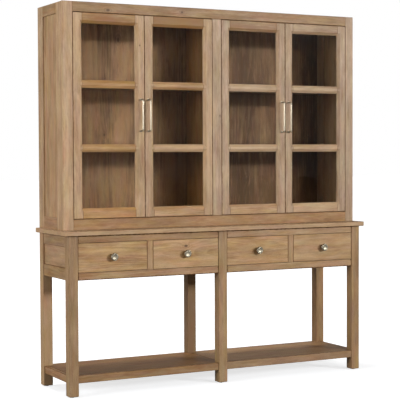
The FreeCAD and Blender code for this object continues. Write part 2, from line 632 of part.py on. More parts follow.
# ---- hutch: magnetic catches behind the top rail ---------------------------------------------
catches = []
for number, (left_edge, hinge_side) in enumerate(DOORS, start=1):
    catch_x = from_meeting_edge(left_edge, hinge_side, "(door_stile_width - catch_width) / 2",
                                "(door_stile_width + catch_width) / 2")
    case = box(f"catch_case_{number}", catch_x, (FRAME_BACK, f"{FRAME_BACK} + catch_depth"),
               (f"{CEILING} - catch_drop", f"{CEILING} - catch_drop + catch_height"))
    magnet = box(f"catch_magnet_{number}", catch_x, (f"{DOOR_BACK} + catch_play", FRAME_BACK),
                 (f"{CEILING} - catch_drop", f"{DOOR_TOP} - door_gap"))
    catches.append(fuse(f"catch_{number}", [case, magnet]))
node("door_catches", catches)


# ---- doors -----------------------------------------------------------------------------------
def screw(name, x, z, front, back):
    """A screw through a board from its back face into a handle on its front face."""
    shank = rod(f"{name}_shank", "screw_radius", f"({back}) - ({front}) + screw_grip",
                x, f"({front}) - screw_grip", z, "y")
    head = rod(f"{name}_head", "screw_head_radius", "screw_head_height", x, back, z, "y")
    return fuse(name, [shank, head])


def screw_bore(name, x, z, front, back):
    """The loose bore for a screw right through a board."""
    return rod(name, "screw_radius + screw_bore_play", f"({back}) - ({front})", x, front, z, "y")


def handle_bore(name, x, z, front):
    """The bore for a screw in the foot of a handle."""
    return rod(name, "screw_radius + screw_play", "screw_grip", x, f"({front}) - screw_grip", z, "y")


def door_pull(name, x):
    """A round bar bent to a D, standing on the door face, with its two screws."""
    reach_y = f"({HUTCH_FRONT} - pull_reach + pull_radius)"
    bend_y = f"({reach_y} + pull_bend)"
    bar = rod(f"{name}_bar", "pull_radius", "pull_length - 2 * pull_radius - 2 * pull_bend",
              x, reach_y, "pull_height - pull_length / 2 + pull_radius + pull_bend", "z")
    pieces = [bar]
    post_zs = []
    bends = (
        ("bottom", -1, FreeCAD.Rotation(DOWN, FORWARD, LEFT, "XYZ")),
        ("top", 1, FreeCAD.Rotation(FORWARD, UP, LEFT, "XYZ")),
    )
    for end_name, end, turn in bends:
        post_z = f"pull_height + {end} * (pull_length / 2 - pull_radius)"
        bend_z = f"pull_height + {end} * (pull_length / 2 - pull_radius - pull_bend)"
        bend = doc.addObject("Part::Torus", f"{name}_bend_{end_name}")
        bind(bend, "Radius1", "pull_bend")
        bind(bend, "Radius2", "pull_radius")
        bend.Angle3 = 90
        bend.Placement = FreeCAD.Placement(FreeCAD.Vector(), turn)
        place(bend, x, bend_y, bend_z)
        post = rod(f"{name}_post_{end_name}", "pull_radius", f"{HUTCH_FRONT} - {bend_y}",
                   x, bend_y, post_z, "y")
        pieces += [bend, post]
        post_zs.append(post_z)
    handle = fuse(f"{name}_handle", pieces)
    bores = []
    screws = []
    for index, z in enumerate(post_zs):
        bores.append(handle_bore(f"{name}_bore_{index}", x, z, HUTCH_FRONT))
        screws.append(screw(f"{name}_screw_{index}", x, z, HUTCH_FRONT, DOOR_BACK))
    return [cut(f"{name}_bar_bored", handle, bores)] + screws, post_zs


door_y = (HUTCH_FRONT, DOOR_BACK)
stile_z = (DOOR_BOTTOM, DOOR_TOP)
GLASS_FRONT = f"({HUTCH_FRONT} + glass_recess)"
pane_y = (GLASS_FRONT, f"{GLASS_FRONT} + glass_thickness")
groove_y = (f"{GLASS_FRONT} - glass_play", f"{GLASS_FRONT} + glass_thickness + glass_play")
GLASS_EDGE = "(glass_tongue - glass_play)"
leaf_zs = (
    ("top", (f"{DOOR_TOP} - leaf_thickness", DOOR_TOP), (f"{DOOR_TOP} - pin_bore_depth", DOOR_TOP)),
    ("bottom", (DOOR_BOTTOM, f"{DOOR_BOTTOM} + leaf_thickness"),
     (DOOR_BOTTOM, f"{DOOR_BOTTOM} + pin_bore_depth")),
)
for number, (left_edge, hinge_side) in enumerate(DOORS, start=1):
    name = f"door_{number}"
    pane_x = (f"{left_edge} + door_stile_width", f"{left_edge} + {DOOR_WIDTH} - door_stile_width")
    # bevel and glass groove round each pane
    pane_zs = []
    pane_cutters = []
    panes = []
    for index in range(3):
        pane_low = (f"({DOOR_BOTTOM} + door_bottom_rail_height"
                    f" + {index} * ({PANE_HEIGHT} + muntin_height))")
        pane_high = f"({pane_low} + {PANE_HEIGHT})"
        pane_zs.append((pane_low, pane_high))
        bevel = doc.addObject("Part::Wedge", f"{name}_bevel_{index}")
        bevel_sizes = {
            "Xmin": "(-1) * bevel_width", "Xmax": f"({pane_x[1]}) - ({pane_x[0]}) + bevel_width",
            "X2min": "0", "X2max": f"({pane_x[1]}) - ({pane_x[0]})",
            "Zmin": "(-1) * bevel_width", "Zmax": f"{PANE_HEIGHT} + bevel_width",
            "Z2min": "0", "Z2max": PANE_HEIGHT,
            "Ymin": "0", "Ymax": "bevel_depth",
        }
        for size_name, text in bevel_sizes.items():
            bind(bevel, size_name, text)
        place(bevel, pane_x[0], HUTCH_FRONT, pane_low)
        groove = box(f"{name}_groove_{index}",
                     (f"{pane_x[0]} - glass_tongue", f"{pane_x[1]} + glass_tongue"), groove_y,
                     (f"{pane_low} - glass_tongue", f"{pane_high} + glass_tongue"))
        pane_cutters.append([bevel, groove])
        panes.append(box(f"{name}_pane_{index}",
                         (f"{pane_x[0]} - {GLASS_EDGE}", f"{pane_x[1]} + {GLASS_EDGE}"), pane_y,
                         (f"{pane_low} - {GLASS_EDGE}", f"{pane_high} + {GLASS_EDGE}")))
    all_cutters = [cutter for pair in pane_cutters for cutter in pair]
    # pull on the meeting stile
    pull_place = "(door_stile_width / 2 - pull_offset)"
    pull_x = from_meeting_edge(left_edge, hinge_side, pull_place, pull_place)[0]
    pull_pieces, post_zs = door_pull(f"{name}_pull", pull_x)
    screw_bores = [screw_bore(f"{name}_screw_bore_{index}", pull_x, z, HUTCH_FRONT, DOOR_BACK)
                   for index, z in enumerate(post_zs)]
    # hinge leaves let into the ends of the hinge stile, bored for the pivot pins
    leaf_x = from_hinge(left_edge, hinge_side, "leaf_margin", "(leaf_margin + leaf_length)")
    pivot_x = from_hinge(left_edge, hinge_side, "pivot_inset", "pivot_inset")[0]
    leaves = []
    hinge_cutters = []
    for end_name, leaf_z, bore_z in leaf_zs:
        blank = box(f"{name}_leaf_blank_{end_name}", leaf_x, leaf_y, leaf_z)
        pin_bore = rod(f"{name}_leaf_bore_{end_name}", "pivot_radius + pivot_play", "leaf_thickness",
                       pivot_x, PIVOT_Y, leaf_z[0], "z")
        hinge_cutters.append(rod(f"{name}_pin_bore_{end_name}", "pin_bore_radius", "pin_bore_depth",
                                 pivot_x, PIVOT_Y, bore_z[0], "z"))
        hinge_cutters.append(blank)
        leaves.append(cut(f"{name}_leaf_{end_name}", blank, [pin_bore]))
    hinge_stile = box(f"{name}_hinge_stile_blank",
                      from_hinge(left_edge, hinge_side, "0", "door_stile_width"), door_y, stile_z)
    pull_stile = box(f"{name}_pull_stile_blank",
                     from_meeting_edge(left_edge, hinge_side, "0", "door_stile_width"), door_y, stile_z)
    node(f"{name}_stiles", [cut(f"{name}_hinge_stile", hinge_stile, all_cutters + hinge_cutters),
                            cut(f"{name}_pull_stile", pull_stile, all_cutters + screw_bores)])
    # rails and muntins between the stiles
    cross_pieces = [
        ("bottom_rail", (DOOR_BOTTOM, pane_zs[0][0]), pane_cutters[0]),
        ("lower_muntin", (pane_zs[0][1], pane_zs[1][0]), pane_cutters[0] + pane_cutters[1]),
        ("upper_muntin", (pane_zs[1][1], pane_zs[2][0]), pane_cutters[1] + pane_cutters[2]),
        ("top_rail", (pane_zs[2][1], DOOR_TOP), pane_cutters[2]),
    ]
    rails = []
    for piece_name, piece_z, cutters in cross_pieces:
        blank = box(f"{name}_{piece_name}_blank", pane_x, door_y, piece_z)
        rails.append(cut(f"{name}_{piece_name}", blank, cutters))
    node(f"{name}_rails", rails)
    node(f"{name}_glass", panes)
    node(f"{name}_pull", pull_pieces)
    node(f"{name}_hinge_leaves", leaves)

# ---- drawers ---------------------------------------------------------------------------------
FRONT_BACK = f"({DRAWER_FACE} + drawer_front_thickness)"
BOX_END = f"({BACK_APRON_FRONT} - drawer_back_gap)"
KNOB_FRONT = f"({DRAWER_FACE} - knob_reach)"
KNOB_CENTRE = f"({KNOB_FRONT} + knob_rim_radius)"
KNOB_RING = "(knob_radius - knob_rim_radius)"
front_z = (f"{OPENING_BOTTOM} + drawer_gap", f"{OPENING_TOP} - drawer_gap")
side_z = (f"{OPENING_BOTTOM} + runner_play", f"{OPENING_TOP} - drawer_headroom")
bottom_low = f"{side_z[0]} + drawer_bottom_rise"
bottom_z = (bottom_low, f"{bottom_low} + drawer_bottom_thickness")
knob_z = f"({OPENING_BOTTOM} + {OPENING_TOP}) / 2"
for number, span in enumerate(DRAWER_SPANS, start=1):
    name = f"drawer_{number}"
    knob_x = f"(({span[0]}) + ({span[1]})) / 2"
    front_blank = box(f"{name}_front_blank", (f"({span[0]}) + drawer_gap", f"({span[1]}) - drawer_gap"),
                      (DRAWER_FACE, FRONT_BACK), front_z)
    bore = screw_bore(f"{name}_screw_bore", knob_x, knob_z, DRAWER_FACE, FRONT_BACK)
    node(f"{name}_front", [cut(f"{name}_front", front_blank, [bore])])

    outer_x = (f"({span[0]}) + side_play", f"({span[1]}) - side_play")
    inner_x = (f"{outer_x[0]} + drawer_side_thickness", f"{outer_x[1]} - drawer_side_thickness")
    bottom = box(f"{name}_bottom", (f"{inner_x[0]} - drawer_groove", f"{inner_x[1]} + drawer_groove"),
                 (FRONT_BACK, BOX_END), bottom_z)
    left_blank = box(f"{name}_left_side_blank", (outer_x[0], inner_x[0]), (FRONT_BACK, BOX_END), side_z)
    right_blank = box(f"{name}_right_side_blank", (inner_x[1], outer_x[1]), (FRONT_BACK, BOX_END), side_z)
    back = box(f"{name}_back", inner_x, (f"{BOX_END} - drawer_side_thickness", BOX_END),
               (bottom_z[1], side_z[1]))
    node(f"{name}_box", [cut(f"{name}_left_side", left_blank, [bottom]),
                         cut(f"{name}_right_side", right_blank, [bottom]), back, bottom])

    foot = rod(f"{name}_knob_foot", "knob_foot_radius", "knob_foot_height",
               knob_x, f"{DRAWER_FACE} - knob_foot_height", knob_z, "y")
    neck = rod(f"{name}_knob_neck", "knob_neck_radius", "knob_reach - knob_rim_radius",
               knob_x, KNOB_CENTRE, knob_z, "y")
    disc = rod(f"{name}_knob_disc", KNOB_RING, "2 * knob_rim_radius", knob_x, KNOB_FRONT, knob_z, "y")
    hollow = doc.addObject("Part::Sphere", f"{name}_knob_hollow")
    bind(hollow, "Radius", "knob_dish_radius")
    place(hollow, knob_x, f"{KNOB_FRONT} + knob_dish_depth - knob_dish_radius", knob_z)
    rim = doc.addObject("Part::Torus", f"{name}_knob_rim")
    rim.Placement = FreeCAD.Placement(FreeCAD.Vector(), DIRECTIONS["y"])
    bind(rim, "Radius1", KNOB_RING)
    bind(rim, "Radius2", "knob_rim_radius")
    place(rim, knob_x, KNOB_CENTRE, knob_z)
    dished = cut(f"{name}_knob_dished", disc, [hollow])
    knob = fuse(f"{name}_knob_solid", [foot, neck, dished, rim])
    knob_bore = handle_bore(f"{name}_knob_bore", knob_x, knob_z, DRAWER_FACE)
    node(f"{name}_knob", [cut(f"{name}_knob_bored", knob, [knob_bore]),
                          screw(f"{name}_screw", knob_x, knob_z, DRAWER_FACE, FRONT_BACK)])

# ---- check and write -------------------------------------------------------------------------
doc.recompute()
for thing in doc.Objects:
    if "Invalid" in thing.State or "Error" in thing.State:
        raise RuntimeError(f"{thing.Label} is {thing.State}")
os.makedirs("parts", exist_ok=True)
for part in nodes:
    shape = part.Shape
    if shape.isNull() or not shape.isValid():
        raise RuntimeError(f"{part.Label} has no valid shape")
    shape.exportStep(os.path.join("parts", part.Label + ".step"))
print(len(nodes), "parts written")
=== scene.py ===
import math
import random

import bmesh
import bpy
from mathutils import Matrix, Vector


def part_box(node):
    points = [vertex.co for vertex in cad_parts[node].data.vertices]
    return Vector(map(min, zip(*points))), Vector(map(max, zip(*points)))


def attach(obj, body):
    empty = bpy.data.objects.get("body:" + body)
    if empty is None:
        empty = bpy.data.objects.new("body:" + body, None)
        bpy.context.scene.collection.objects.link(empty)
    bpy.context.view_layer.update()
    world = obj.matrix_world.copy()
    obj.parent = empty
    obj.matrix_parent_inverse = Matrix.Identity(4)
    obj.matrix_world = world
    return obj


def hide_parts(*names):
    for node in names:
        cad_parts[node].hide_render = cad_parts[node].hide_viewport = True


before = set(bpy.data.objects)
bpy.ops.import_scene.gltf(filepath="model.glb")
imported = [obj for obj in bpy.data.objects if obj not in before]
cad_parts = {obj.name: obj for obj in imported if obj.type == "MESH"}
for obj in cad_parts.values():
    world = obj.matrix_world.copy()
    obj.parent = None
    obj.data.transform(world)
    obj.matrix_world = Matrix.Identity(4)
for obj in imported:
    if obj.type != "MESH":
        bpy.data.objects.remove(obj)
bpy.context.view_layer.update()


# ---- legs -----------------------------------------------------------------------------------
# Six square posts of solid oak carry the base. They are sawn from thick stock, planed, bevelled
# at the foot and wiped with a pale brown oil that leaves the pores open.
def place_node(tree, kind, sockets=None, **settings):
    """A shader node with its settings; sockets take a value or another node's output."""
    made = tree.nodes.new("ShaderNode" + kind)
    for name, value in settings.items():
        setattr(made, name, value)
    for name, value in (sockets or {}).items():
        if isinstance(value, bpy.types.NodeSocket):
            tree.links.new(value, made.inputs[name])
        else:
            made.inputs[name].default_value = value
    return made


def calc(tree, operation, *values):
    """The output of a Math node."""
    return place_node(tree, "Math", dict(enumerate(values)), operation=operation).outputs[0]


def plus(tree, first, second):
    return calc(tree, "ADD", first, second)


def minus(tree, first, second):
    return calc(tree, "SUBTRACT", first, second)


def times(tree, first, second):
    return calc(tree, "MULTIPLY", first, second)


def swing(tree, value, amount):
    """A value between 0 and 1 turned into a swing about nothing."""
    return times(tree, minus(tree, value, 0.5), amount)


def smooth_mask(tree, value, low, high):
    """0 below low, 1 above high, with a smooth step between."""
    mask = place_node(tree, "MapRange", {"Value": value, "From Min": low, "From Max": high},
                      interpolation_type="SMOOTHSTEP")
    return mask.outputs["Result"]


def noise_of(tree, place, turns, detail, roughness=0.5):
    """Noise stretched along each axis; turns are per metre."""
    stretched = place_node(tree, "VectorMath", {0: place, 1: turns}, operation="MULTIPLY")
    noise = place_node(tree, "TexNoise", {"Vector": stretched.outputs[0], "Scale": 1.0,
                                          "Detail": detail, "Roughness": roughness})
    return noise.outputs[0]


def length_of(tree, first, second):
    """The length of a flat vector."""
    flat = place_node(tree, "CombineXYZ", {0: first, 1: second})
    reach = place_node(tree, "VectorMath", {0: flat.outputs[0]}, operation="LENGTH")
    return reach.outputs["Value"]


def blend(tree, share, first, second):
    """Two colours mixed."""
    mixed = place_node(tree, "Mix", {0: share, 6: first, 7: second}, data_type="RGBA")
    return mixed.outputs[2]


def new_group(name, inputs, outputs):
    """A shader node group with named sockets; gives the tree, its inputs and its output node."""
    tree = bpy.data.node_groups.new(name, "ShaderNodeTree")
    for label, kind, value in inputs:
        socket = tree.interface.new_socket(label, in_out="INPUT", socket_type="NodeSocket" + kind)
        if value is not None:
            socket.default_value = value
    for label, kind in outputs:
        tree.interface.new_socket(label, in_out="OUTPUT", socket_type="NodeSocket" + kind)
    given = tree.nodes.new("NodeGroupInput").outputs
    return tree, given, tree.nodes.new("NodeGroupOutput").inputs


# grain of sawn oak: turns per metre along, across and through the board, and how fine it goes
WANDER_GRAIN = {"turns": (1.1, 7.0, 7.0), "detail": 2.0}
PATCH_GRAIN = {"turns": (0.8, 9.0, 9.0), "detail": 1.0}
STREAK_GRAIN = {"turns": (1.8, 45.0, 45.0), "detail": 4.0, "roughness": 0.65}
FLAME_GRAIN = {"turns": (7.0, 30.0, 30.0), "detail": 3.0, "roughness": 0.6}
FIBRE_GRAIN = {"turns": (16.0, 260.0, 260.0), "detail": 4.0, "roughness": 0.75}
PORE_GRAIN = {"turns": (40.0, 1000.0, 1000.0), "detail": 1.0}
CLOUD_GRAIN = {"turns": (3.0, 9.0, 9.0), "detail": 3.0, "roughness": 0.6}
HUE_GRAIN = {"turns": (5.0, 24.0, 24.0), "detail": 3.0}
RICHNESS_GRAIN = {"turns": (8.0, 38.0, 38.0), "detail": 2.0}
CRACK_GRAIN = {"turns": (11.0, 85.0, 85.0), "detail": 2.0}
LOG_SPREAD = 37.0
PORE_STARTS = 0.58
PORE_ENDS = 0.70
CRACK_STARTS = 0.67
CRACK_ENDS = 0.75

# knots: drawn out along the board, with a swirl and a ringed shade that fade with the distance
KNOT_SQUEEZE = 0.62
SWIRL_FADE = -0.45
KNOT_SHADE_FADE = -0.8
KNOT_RINGS = 5.0
HEART_STARTS = 0.45
HEART_ENDS = 1.25
HEART_STRENGTH = 0.8
BURNT = (0.095, 0.045, 0.018, 1)

# growth rings: how far they wander and a knot pushes them, in metres, and where the pith lies
RING_WANDER = 0.10
KNOT_PUSH = 0.03
PITH_ACROSS = 0.10
PITH_TILT = 0.14
PITH_DEPTH = 0.02
PITH_DEPTH_RANGE = 0.09
LATE_WOOD_ENDS = 0.86
PATCH_STARTS = 0.35
PATCH_ENDS = 0.65

# how strongly each layer of the figure darkens, tints and roughens the wood
CLOUD_SHADE = 1.5
CLOUD_LIFT = -0.42
FLAME_SHADE = 1.3
FIBRE_SHADE = 1.3
PORE_SHADE = 0.3
BOARD_SHADE = 0.24
SAME_HUE = 0.5
HUE_SWING = 0.064
HUE_BY_WARMTH = -0.002
RICHNESS = 0.96
RICHNESS_SWING = 0.4
RICHNESS_BY_BOARD = 0.08
RICHNESS_BY_WARMTH = 0.17
WOOD_ROUGHNESS = 0.44
FIBRE_ROUGHNESS = 0.16
PORE_ROUGHNESS = 0.15
FIBRE_HEIGHT = 0.5
PORE_HEIGHT = -0.8
RING_HEIGHT = 0.4


def knot_distance(tree, given, place):
    """How far a point lies from the nearer of two knots, in radii of that knot."""
    ratios = []
    for label in ("Knot", "Second knot"):
        knot = place_node(tree, "SeparateXYZ", {0: given[label]}).outputs
        along = times(tree, minus(tree, place[0], knot[0]), KNOT_SQUEEZE)
        across = minus(tree, place[1], knot[1])
        ratios.append(calc(tree, "DIVIDE", length_of(tree, along, across), knot[2]))
    return calc(tree, "MINIMUM", *ratios)


def growth_rings(tree, given, place, moved, lot, swirl):
    """Growth rings: cones about a pith line that wanders beside the board."""
    wander = swing(tree, noise_of(tree, moved, **WANDER_GRAIN), RING_WANDER)
    wander = plus(tree, wander, times(tree, swirl, KNOT_PUSH))
    across = minus(tree, place[1], swing(tree, lot[0], PITH_ACROSS))
    pith = calc(tree, "MULTIPLY_ADD", lot[2], PITH_DEPTH_RANGE, PITH_DEPTH)
    depth = times(tree, place[0], swing(tree, lot[1], PITH_TILT))
    depth = plus(tree, depth, plus(tree, place[2], pith))
    reach = plus(tree, length_of(tree, across, depth), wander)
    ring = calc(tree, "FRACT", calc(tree, "DIVIDE", reach, given["Ring width"]))
    fade = smooth_mask(tree, ring, LATE_WOOD_ENDS, 1.0)
    ring = times(tree, ring, minus(tree, 1.0, fade))
    patchy = noise_of(tree, moved, **PATCH_GRAIN)
    patchy = smooth_mask(tree, patchy, PATCH_STARTS, PATCH_ENDS)
    return times(tree, times(tree, ring, given["Ring strength"]), patchy)


def oak_figure_group():
    """Colour, roughness and height of sawn oak, from a place along, across and through it."""
    tree, given, result = new_group("Oak figure", [
        ("Place", "Vector", None), ("Seed", "Float", 0.0), ("Tone", "Float", 0.0),
        ("Warmth", "Float", 0.0), ("Knot", "Vector", None), ("Second knot", "Vector", None),
        ("Cracks", "Float", 0.0), ("Pale", "Color", None), ("Dark", "Color", None),
        ("Ring width", "Float", 0.011), ("Ring strength", "Float", 0.35),
        ("Streaks", "Float", 0.5),
    ], [("Color", "Color"), ("Roughness", "Float"), ("Height", "Float")])

    # each board draws its own lot and is cut from its own part of the log
    chance = place_node(tree, "TexWhiteNoise", {"W": given["Seed"]}, noise_dimensions="1D")
    chance = chance.outputs["Color"]
    lot = place_node(tree, "SeparateXYZ", {0: chance}).outputs
    shift = place_node(tree, "VectorMath", {0: chance, 3: LOG_SPREAD}, operation="SCALE")
    moved = place_node(tree, "VectorMath", {0: given["Place"], 1: shift.outputs[0]},
                       operation="ADD").outputs[0]
    place = place_node(tree, "SeparateXYZ", {0: given["Place"]}).outputs
    knot = knot_distance(tree, given, place)
    swirl = calc(tree, "EXPONENT", times(tree, knot, SWIRL_FADE))
    ring = growth_rings(tree, given, place, moved, lot, swirl)

    # long streaks, flames, fibres and open pores
    streak = noise_of(tree, moved, **STREAK_GRAIN)
    flame = noise_of(tree, moved, **FLAME_GRAIN)
    fibre = noise_of(tree, moved, **FIBRE_GRAIN)
    pore = noise_of(tree, moved, **PORE_GRAIN)
    pore = smooth_mask(tree, pore, PORE_STARTS, PORE_ENDS)
    cloud = noise_of(tree, moved, **CLOUD_GRAIN)
    ringed = calc(tree, "SINE", times(tree, knot, KNOT_RINGS))
    ringed = times(tree, plus(tree, ringed, 1.0), 0.5)
    around = calc(tree, "EXPONENT", times(tree, knot, KNOT_SHADE_FADE))
    shade = swing(tree, streak, given["Streaks"])
    for layer in (calc(tree, "MULTIPLY_ADD", cloud, CLOUD_SHADE, CLOUD_LIFT),
                  swing(tree, flame, FLAME_SHADE),
                  ring,
                  swing(tree, fibre, FIBRE_SHADE),
                  times(tree, pore, PORE_SHADE),
                  plus(tree, given["Tone"], swing(tree, lot[1], BOARD_SHADE)),
                  times(tree, around, ringed)):
        shade = plus(tree, shade, layer)
    colour = blend(tree, shade, given["Pale"], given["Dark"])

    # warm and cool boards, cracks, and the dark heart of a knot
    hue = plus(tree, swing(tree, noise_of(tree, moved, **HUE_GRAIN), HUE_SWING), SAME_HUE)
    hue = calc(tree, "MULTIPLY_ADD", given["Warmth"], HUE_BY_WARMTH, hue)
    rich = swing(tree, noise_of(tree, moved, **RICHNESS_GRAIN), RICHNESS_SWING)
    rich = plus(tree, rich, RICHNESS)
    rich = calc(tree, "MULTIPLY_ADD", lot[0], RICHNESS_BY_BOARD, rich)
    rich = calc(tree, "MULTIPLY_ADD", given["Warmth"], RICHNESS_BY_WARMTH, rich)
    warm = place_node(tree, "HueSaturation", {"Hue": hue, "Saturation": rich, "Color": colour})
    split = noise_of(tree, moved, **CRACK_GRAIN)
    split = smooth_mask(tree, split, CRACK_STARTS, CRACK_ENDS)
    split = times(tree, split, given["Cracks"])
    heart = minus(tree, 1.0, smooth_mask(tree, knot, HEART_STARTS, HEART_ENDS))
    dark = calc(tree, "MAXIMUM", times(tree, heart, HEART_STRENGTH), split)
    tree.links.new(blend(tree, dark, warm.outputs[0], BURNT), result["Color"])
    rough = calc(tree, "MULTIPLY_ADD", fibre, FIBRE_ROUGHNESS, WOOD_ROUGHNESS)
    rough = calc(tree, "MULTIPLY_ADD", pore, PORE_ROUGHNESS, rough)
    tree.links.new(rough, result["Roughness"])
    height = calc(tree, "MULTIPLY_ADD", fibre, FIBRE_HEIGHT, times(tree, pore, PORE_HEIGHT))
    height = plus(tree, height, times(tree, ring, RING_HEIGHT))
    tree.links.new(height, result["Height"])
    return tree


# a distance that no board reaches, for knots that aren't there and joints that don't end
OFF_THE_BOARD = 9.0
RAGGED_EDGE = {"turns": (60.0, 60.0, 60.0), "detail": 2.0}
RUB_REACH = 2.0
RUB_BLUR = 0.0015
# how far the painted gap shade with grime reaches beside an arris, and how soft its edge is
GAP_SHADE_AND_GRIME_REACH = 1.3
GAP_SHADE_AND_GRIME_STARTS = -0.0003
GAP_SHADE_AND_GRIME_ENDS = 0.0012


def rubbed_edge_group():
    """A mask of the rubbed arrises and a mask of painted gap shade with grime along them.

    Joint says on which side another board is glued on (-1 or 1, or 2 for both), and where along
    the board the free stretch begins and ends. A glued side has no arris.
    """
    tree, given, result = new_group("Rubbed edges", [
        ("Place", "Vector", None), ("Half size", "Vector", None), ("Joint", "Vector", None),
        ("Width", "Float", 0.002),
    ], [("Rubbed", "Float"), ("Gap shade and grime", "Float")])
    inward = place_node(tree, "VectorMath", {0: given["Place"]}, operation="ABSOLUTE")
    inward = place_node(tree, "VectorMath", {0: given["Half size"], 1: inward.outputs[0]},
                        operation="SUBTRACT")
    gap = place_node(tree, "SeparateXYZ", {0: inward.outputs[0]}).outputs
    place = place_node(tree, "SeparateXYZ", {0: given["Place"]}).outputs
    joint = place_node(tree, "SeparateXYZ", {0: given["Joint"]}).outputs
    both = minus(tree, calc(tree, "ABSOLUTE", joint[0]), 1.0)
    both = times(tree, both, OFF_THE_BOARD)
    side = calc(tree, "MULTIPLY_ADD", place[1], joint[0], both)
    below = calc(tree, "LESS_THAN", place[0], joint[1])
    beyond = calc(tree, "GREATER_THAN", place[0], joint[2])
    glued = times(tree, calc(tree, "GREATER_THAN", side, 0.0),
                  calc(tree, "MAXIMUM", below, beyond))

    # an arris is where the second smallest distance to a face is small
    across_gap = plus(tree, gap[1], glued)
    lower = calc(tree, "MINIMUM", gap[0], across_gap)
    upper = calc(tree, "MAXIMUM", gap[0], across_gap)
    second = calc(tree, "MAXIMUM", lower, calc(tree, "MINIMUM", upper, gap[2]))
    ragged = noise_of(tree, given["Place"], **RAGGED_EDGE)
    reach = times(tree, given["Width"], times(tree, ragged, RUB_REACH))
    rubbed = smooth_mask(tree, minus(tree, reach, second), 0.0, RUB_BLUR)
    tree.links.new(rubbed, result["Rubbed"])
    # the second mask paints shade into the gaps beside the arrises, with some grime in it
    beside = minus(tree, times(tree, reach, GAP_SHADE_AND_GRIME_REACH), second)
    tree.links.new(smooth_mask(tree, beside, GAP_SHADE_AND_GRIME_STARTS, GAP_SHADE_AND_GRIME_ENDS), result["Gap shade and grime"])
    return tree


OAK_FIGURE = oak_figure_group()
RUBBED_EDGES = rubbed_edge_group()
BOARD_VECTORS = ("place", "half", "knot", "second_knot", "joint")
BOARD_NUMBERS = ("seed", "tone", "warmth", "gap_shade_and_grime_share")
RUBBED_SHARE = 0.12
RUBBED_PALER = 1.25
# the colour of the painted gap shade with grime, and how much rougher it leaves the wood
GAP_SHADE_AND_GRIME = (0.10, 0.04, 0.010, 1)
GAP_SHADE_AND_GRIME_ROUGHNESS = 0.4
GRAIN_BUMP = 0.35
GRAIN_HEIGHT = 0.0006


def oak(name, pale, dark, ring_width=0.011, ring_strength=0.35, streaks=1.2, gap_shade_and_grime=0.8,
        line=0.002, gloss=0.28, cracks=0.0):
    """An oak finish: pale and dark are the colours of early and late wood, line is how wide the
    rubbed arrises and the painted gap shade with grime reach; dirt is how strongly that shows."""
    material = bpy.data.materials.new(name)
    material.use_nodes = True
    tree = material.node_tree
    shader = tree.nodes["Principled BSDF"]
    board = {}
    for facts, output in ((BOARD_VECTORS, "Vector"), (BOARD_NUMBERS, "Fac")):
        for fact in facts:
            layer = place_node(tree, "Attribute", attribute_name=f"board_{fact}")
            board[fact] = layer.outputs[output]
    figure = place_node(tree, "Group", node_tree=OAK_FIGURE, sockets={
        "Place": board["place"], "Seed": board["seed"], "Tone": board["tone"],
        "Warmth": board["warmth"], "Knot": board["knot"], "Second knot": board["second_knot"],
        "Cracks": cracks, "Pale": (*pale, 1), "Dark": (*dark, 1), "Ring width": ring_width,
        "Ring strength": ring_strength, "Streaks": streaks,
    }).outputs
    edges = place_node(tree, "Group", node_tree=RUBBED_EDGES, sockets={
        "Place": board["place"], "Half size": board["half"], "Joint": board["joint"],
        "Width": line,
    }).outputs
    paler = (*[min(1, part * RUBBED_PALER) for part in pale], 1)
    rubbed = times(tree, edges["Rubbed"], RUBBED_SHARE)
    worn = blend(tree, rubbed, figure["Color"], paler)
    # painted shade in the gaps, with some grime, darkens the wood along its arrises
    gap_shade_and_grime_share = times(tree, times(tree, edges["Gap shade and grime"], gap_shade_and_grime), board["gap_shade_and_grime_share"])
    tree.links.new(blend(tree, gap_shade_and_grime_share, worn, GAP_SHADE_AND_GRIME), shader.inputs["Base Color"])
    rough = calc(tree, "MULTIPLY_ADD", gap_shade_and_grime_share, GAP_SHADE_AND_GRIME_ROUGHNESS, figure["Roughness"])
    tree.links.new(rough, shader.inputs["Roughness"])
    bump = place_node(tree, "Bump", {"Strength": GRAIN_BUMP, "Distance": GRAIN_HEIGHT,
                                     "Height": figure["Height"]})
    tree.links.new(bump.outputs[0], shader.inputs["Normal"])
    shader.inputs["Specular IOR Level"].default_value = gloss
    return material


def closed_shells(node_name):
    """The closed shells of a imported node, each as a list of corner points per face."""
    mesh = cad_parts[node_name].data
    spots = [tuple(round(part, 6) for part in vertex.co) for vertex in mesh.vertices]
    shells = []
    faces = []
    open_edges = set()
    for polygon in mesh.polygons:
        ring = [spots[index] for index in polygon.vertices]
        faces.append(ring)
        for start, end in zip(ring, ring[1:] + ring[:1]):
            if (end, start) in open_edges:
                open_edges.remove((end, start))
            else:
                open_edges.add((start, end))
        if not open_edges:
            shells.append(faces)
            faces = []
    return shells


FLAT = math.radians(0.4)
SHARP = math.radians(28)
SHORTEST_ROUNDED_EDGE = 0.02


def shell_mesh(shell):
    """One closed shell as a bmesh, with its flat faces joined."""
    made = bmesh.new()
    corners = {}
    for ring in shell:
        for spot in ring:
            if spot not in corners:
                corners[spot] = made.verts.new(spot)
        if len(set(ring)) == len(ring):
            face = [corners[spot] for spot in ring]
            if not made.faces.get(face):
                made.faces.new(face)
    bmesh.ops.dissolve_limit(made, angle_limit=FLAT, verts=made.verts, edges=made.edges,
                             delimit={"NORMAL"})
    return made


def soften(made, radius):
    """Rounds the long sharp edges of a board."""
    wanted = [edge for edge in made.edges
              if edge.calc_length() > SHORTEST_ROUNDED_EDGE and edge.calc_face_angle(0) > SHARP]
    bmesh.ops.bevel(made, geom=wanted, offset=radius, offset_type="OFFSET", segments=2,
                    profile=0.5, affect="EDGES", clamp_overlap=True)


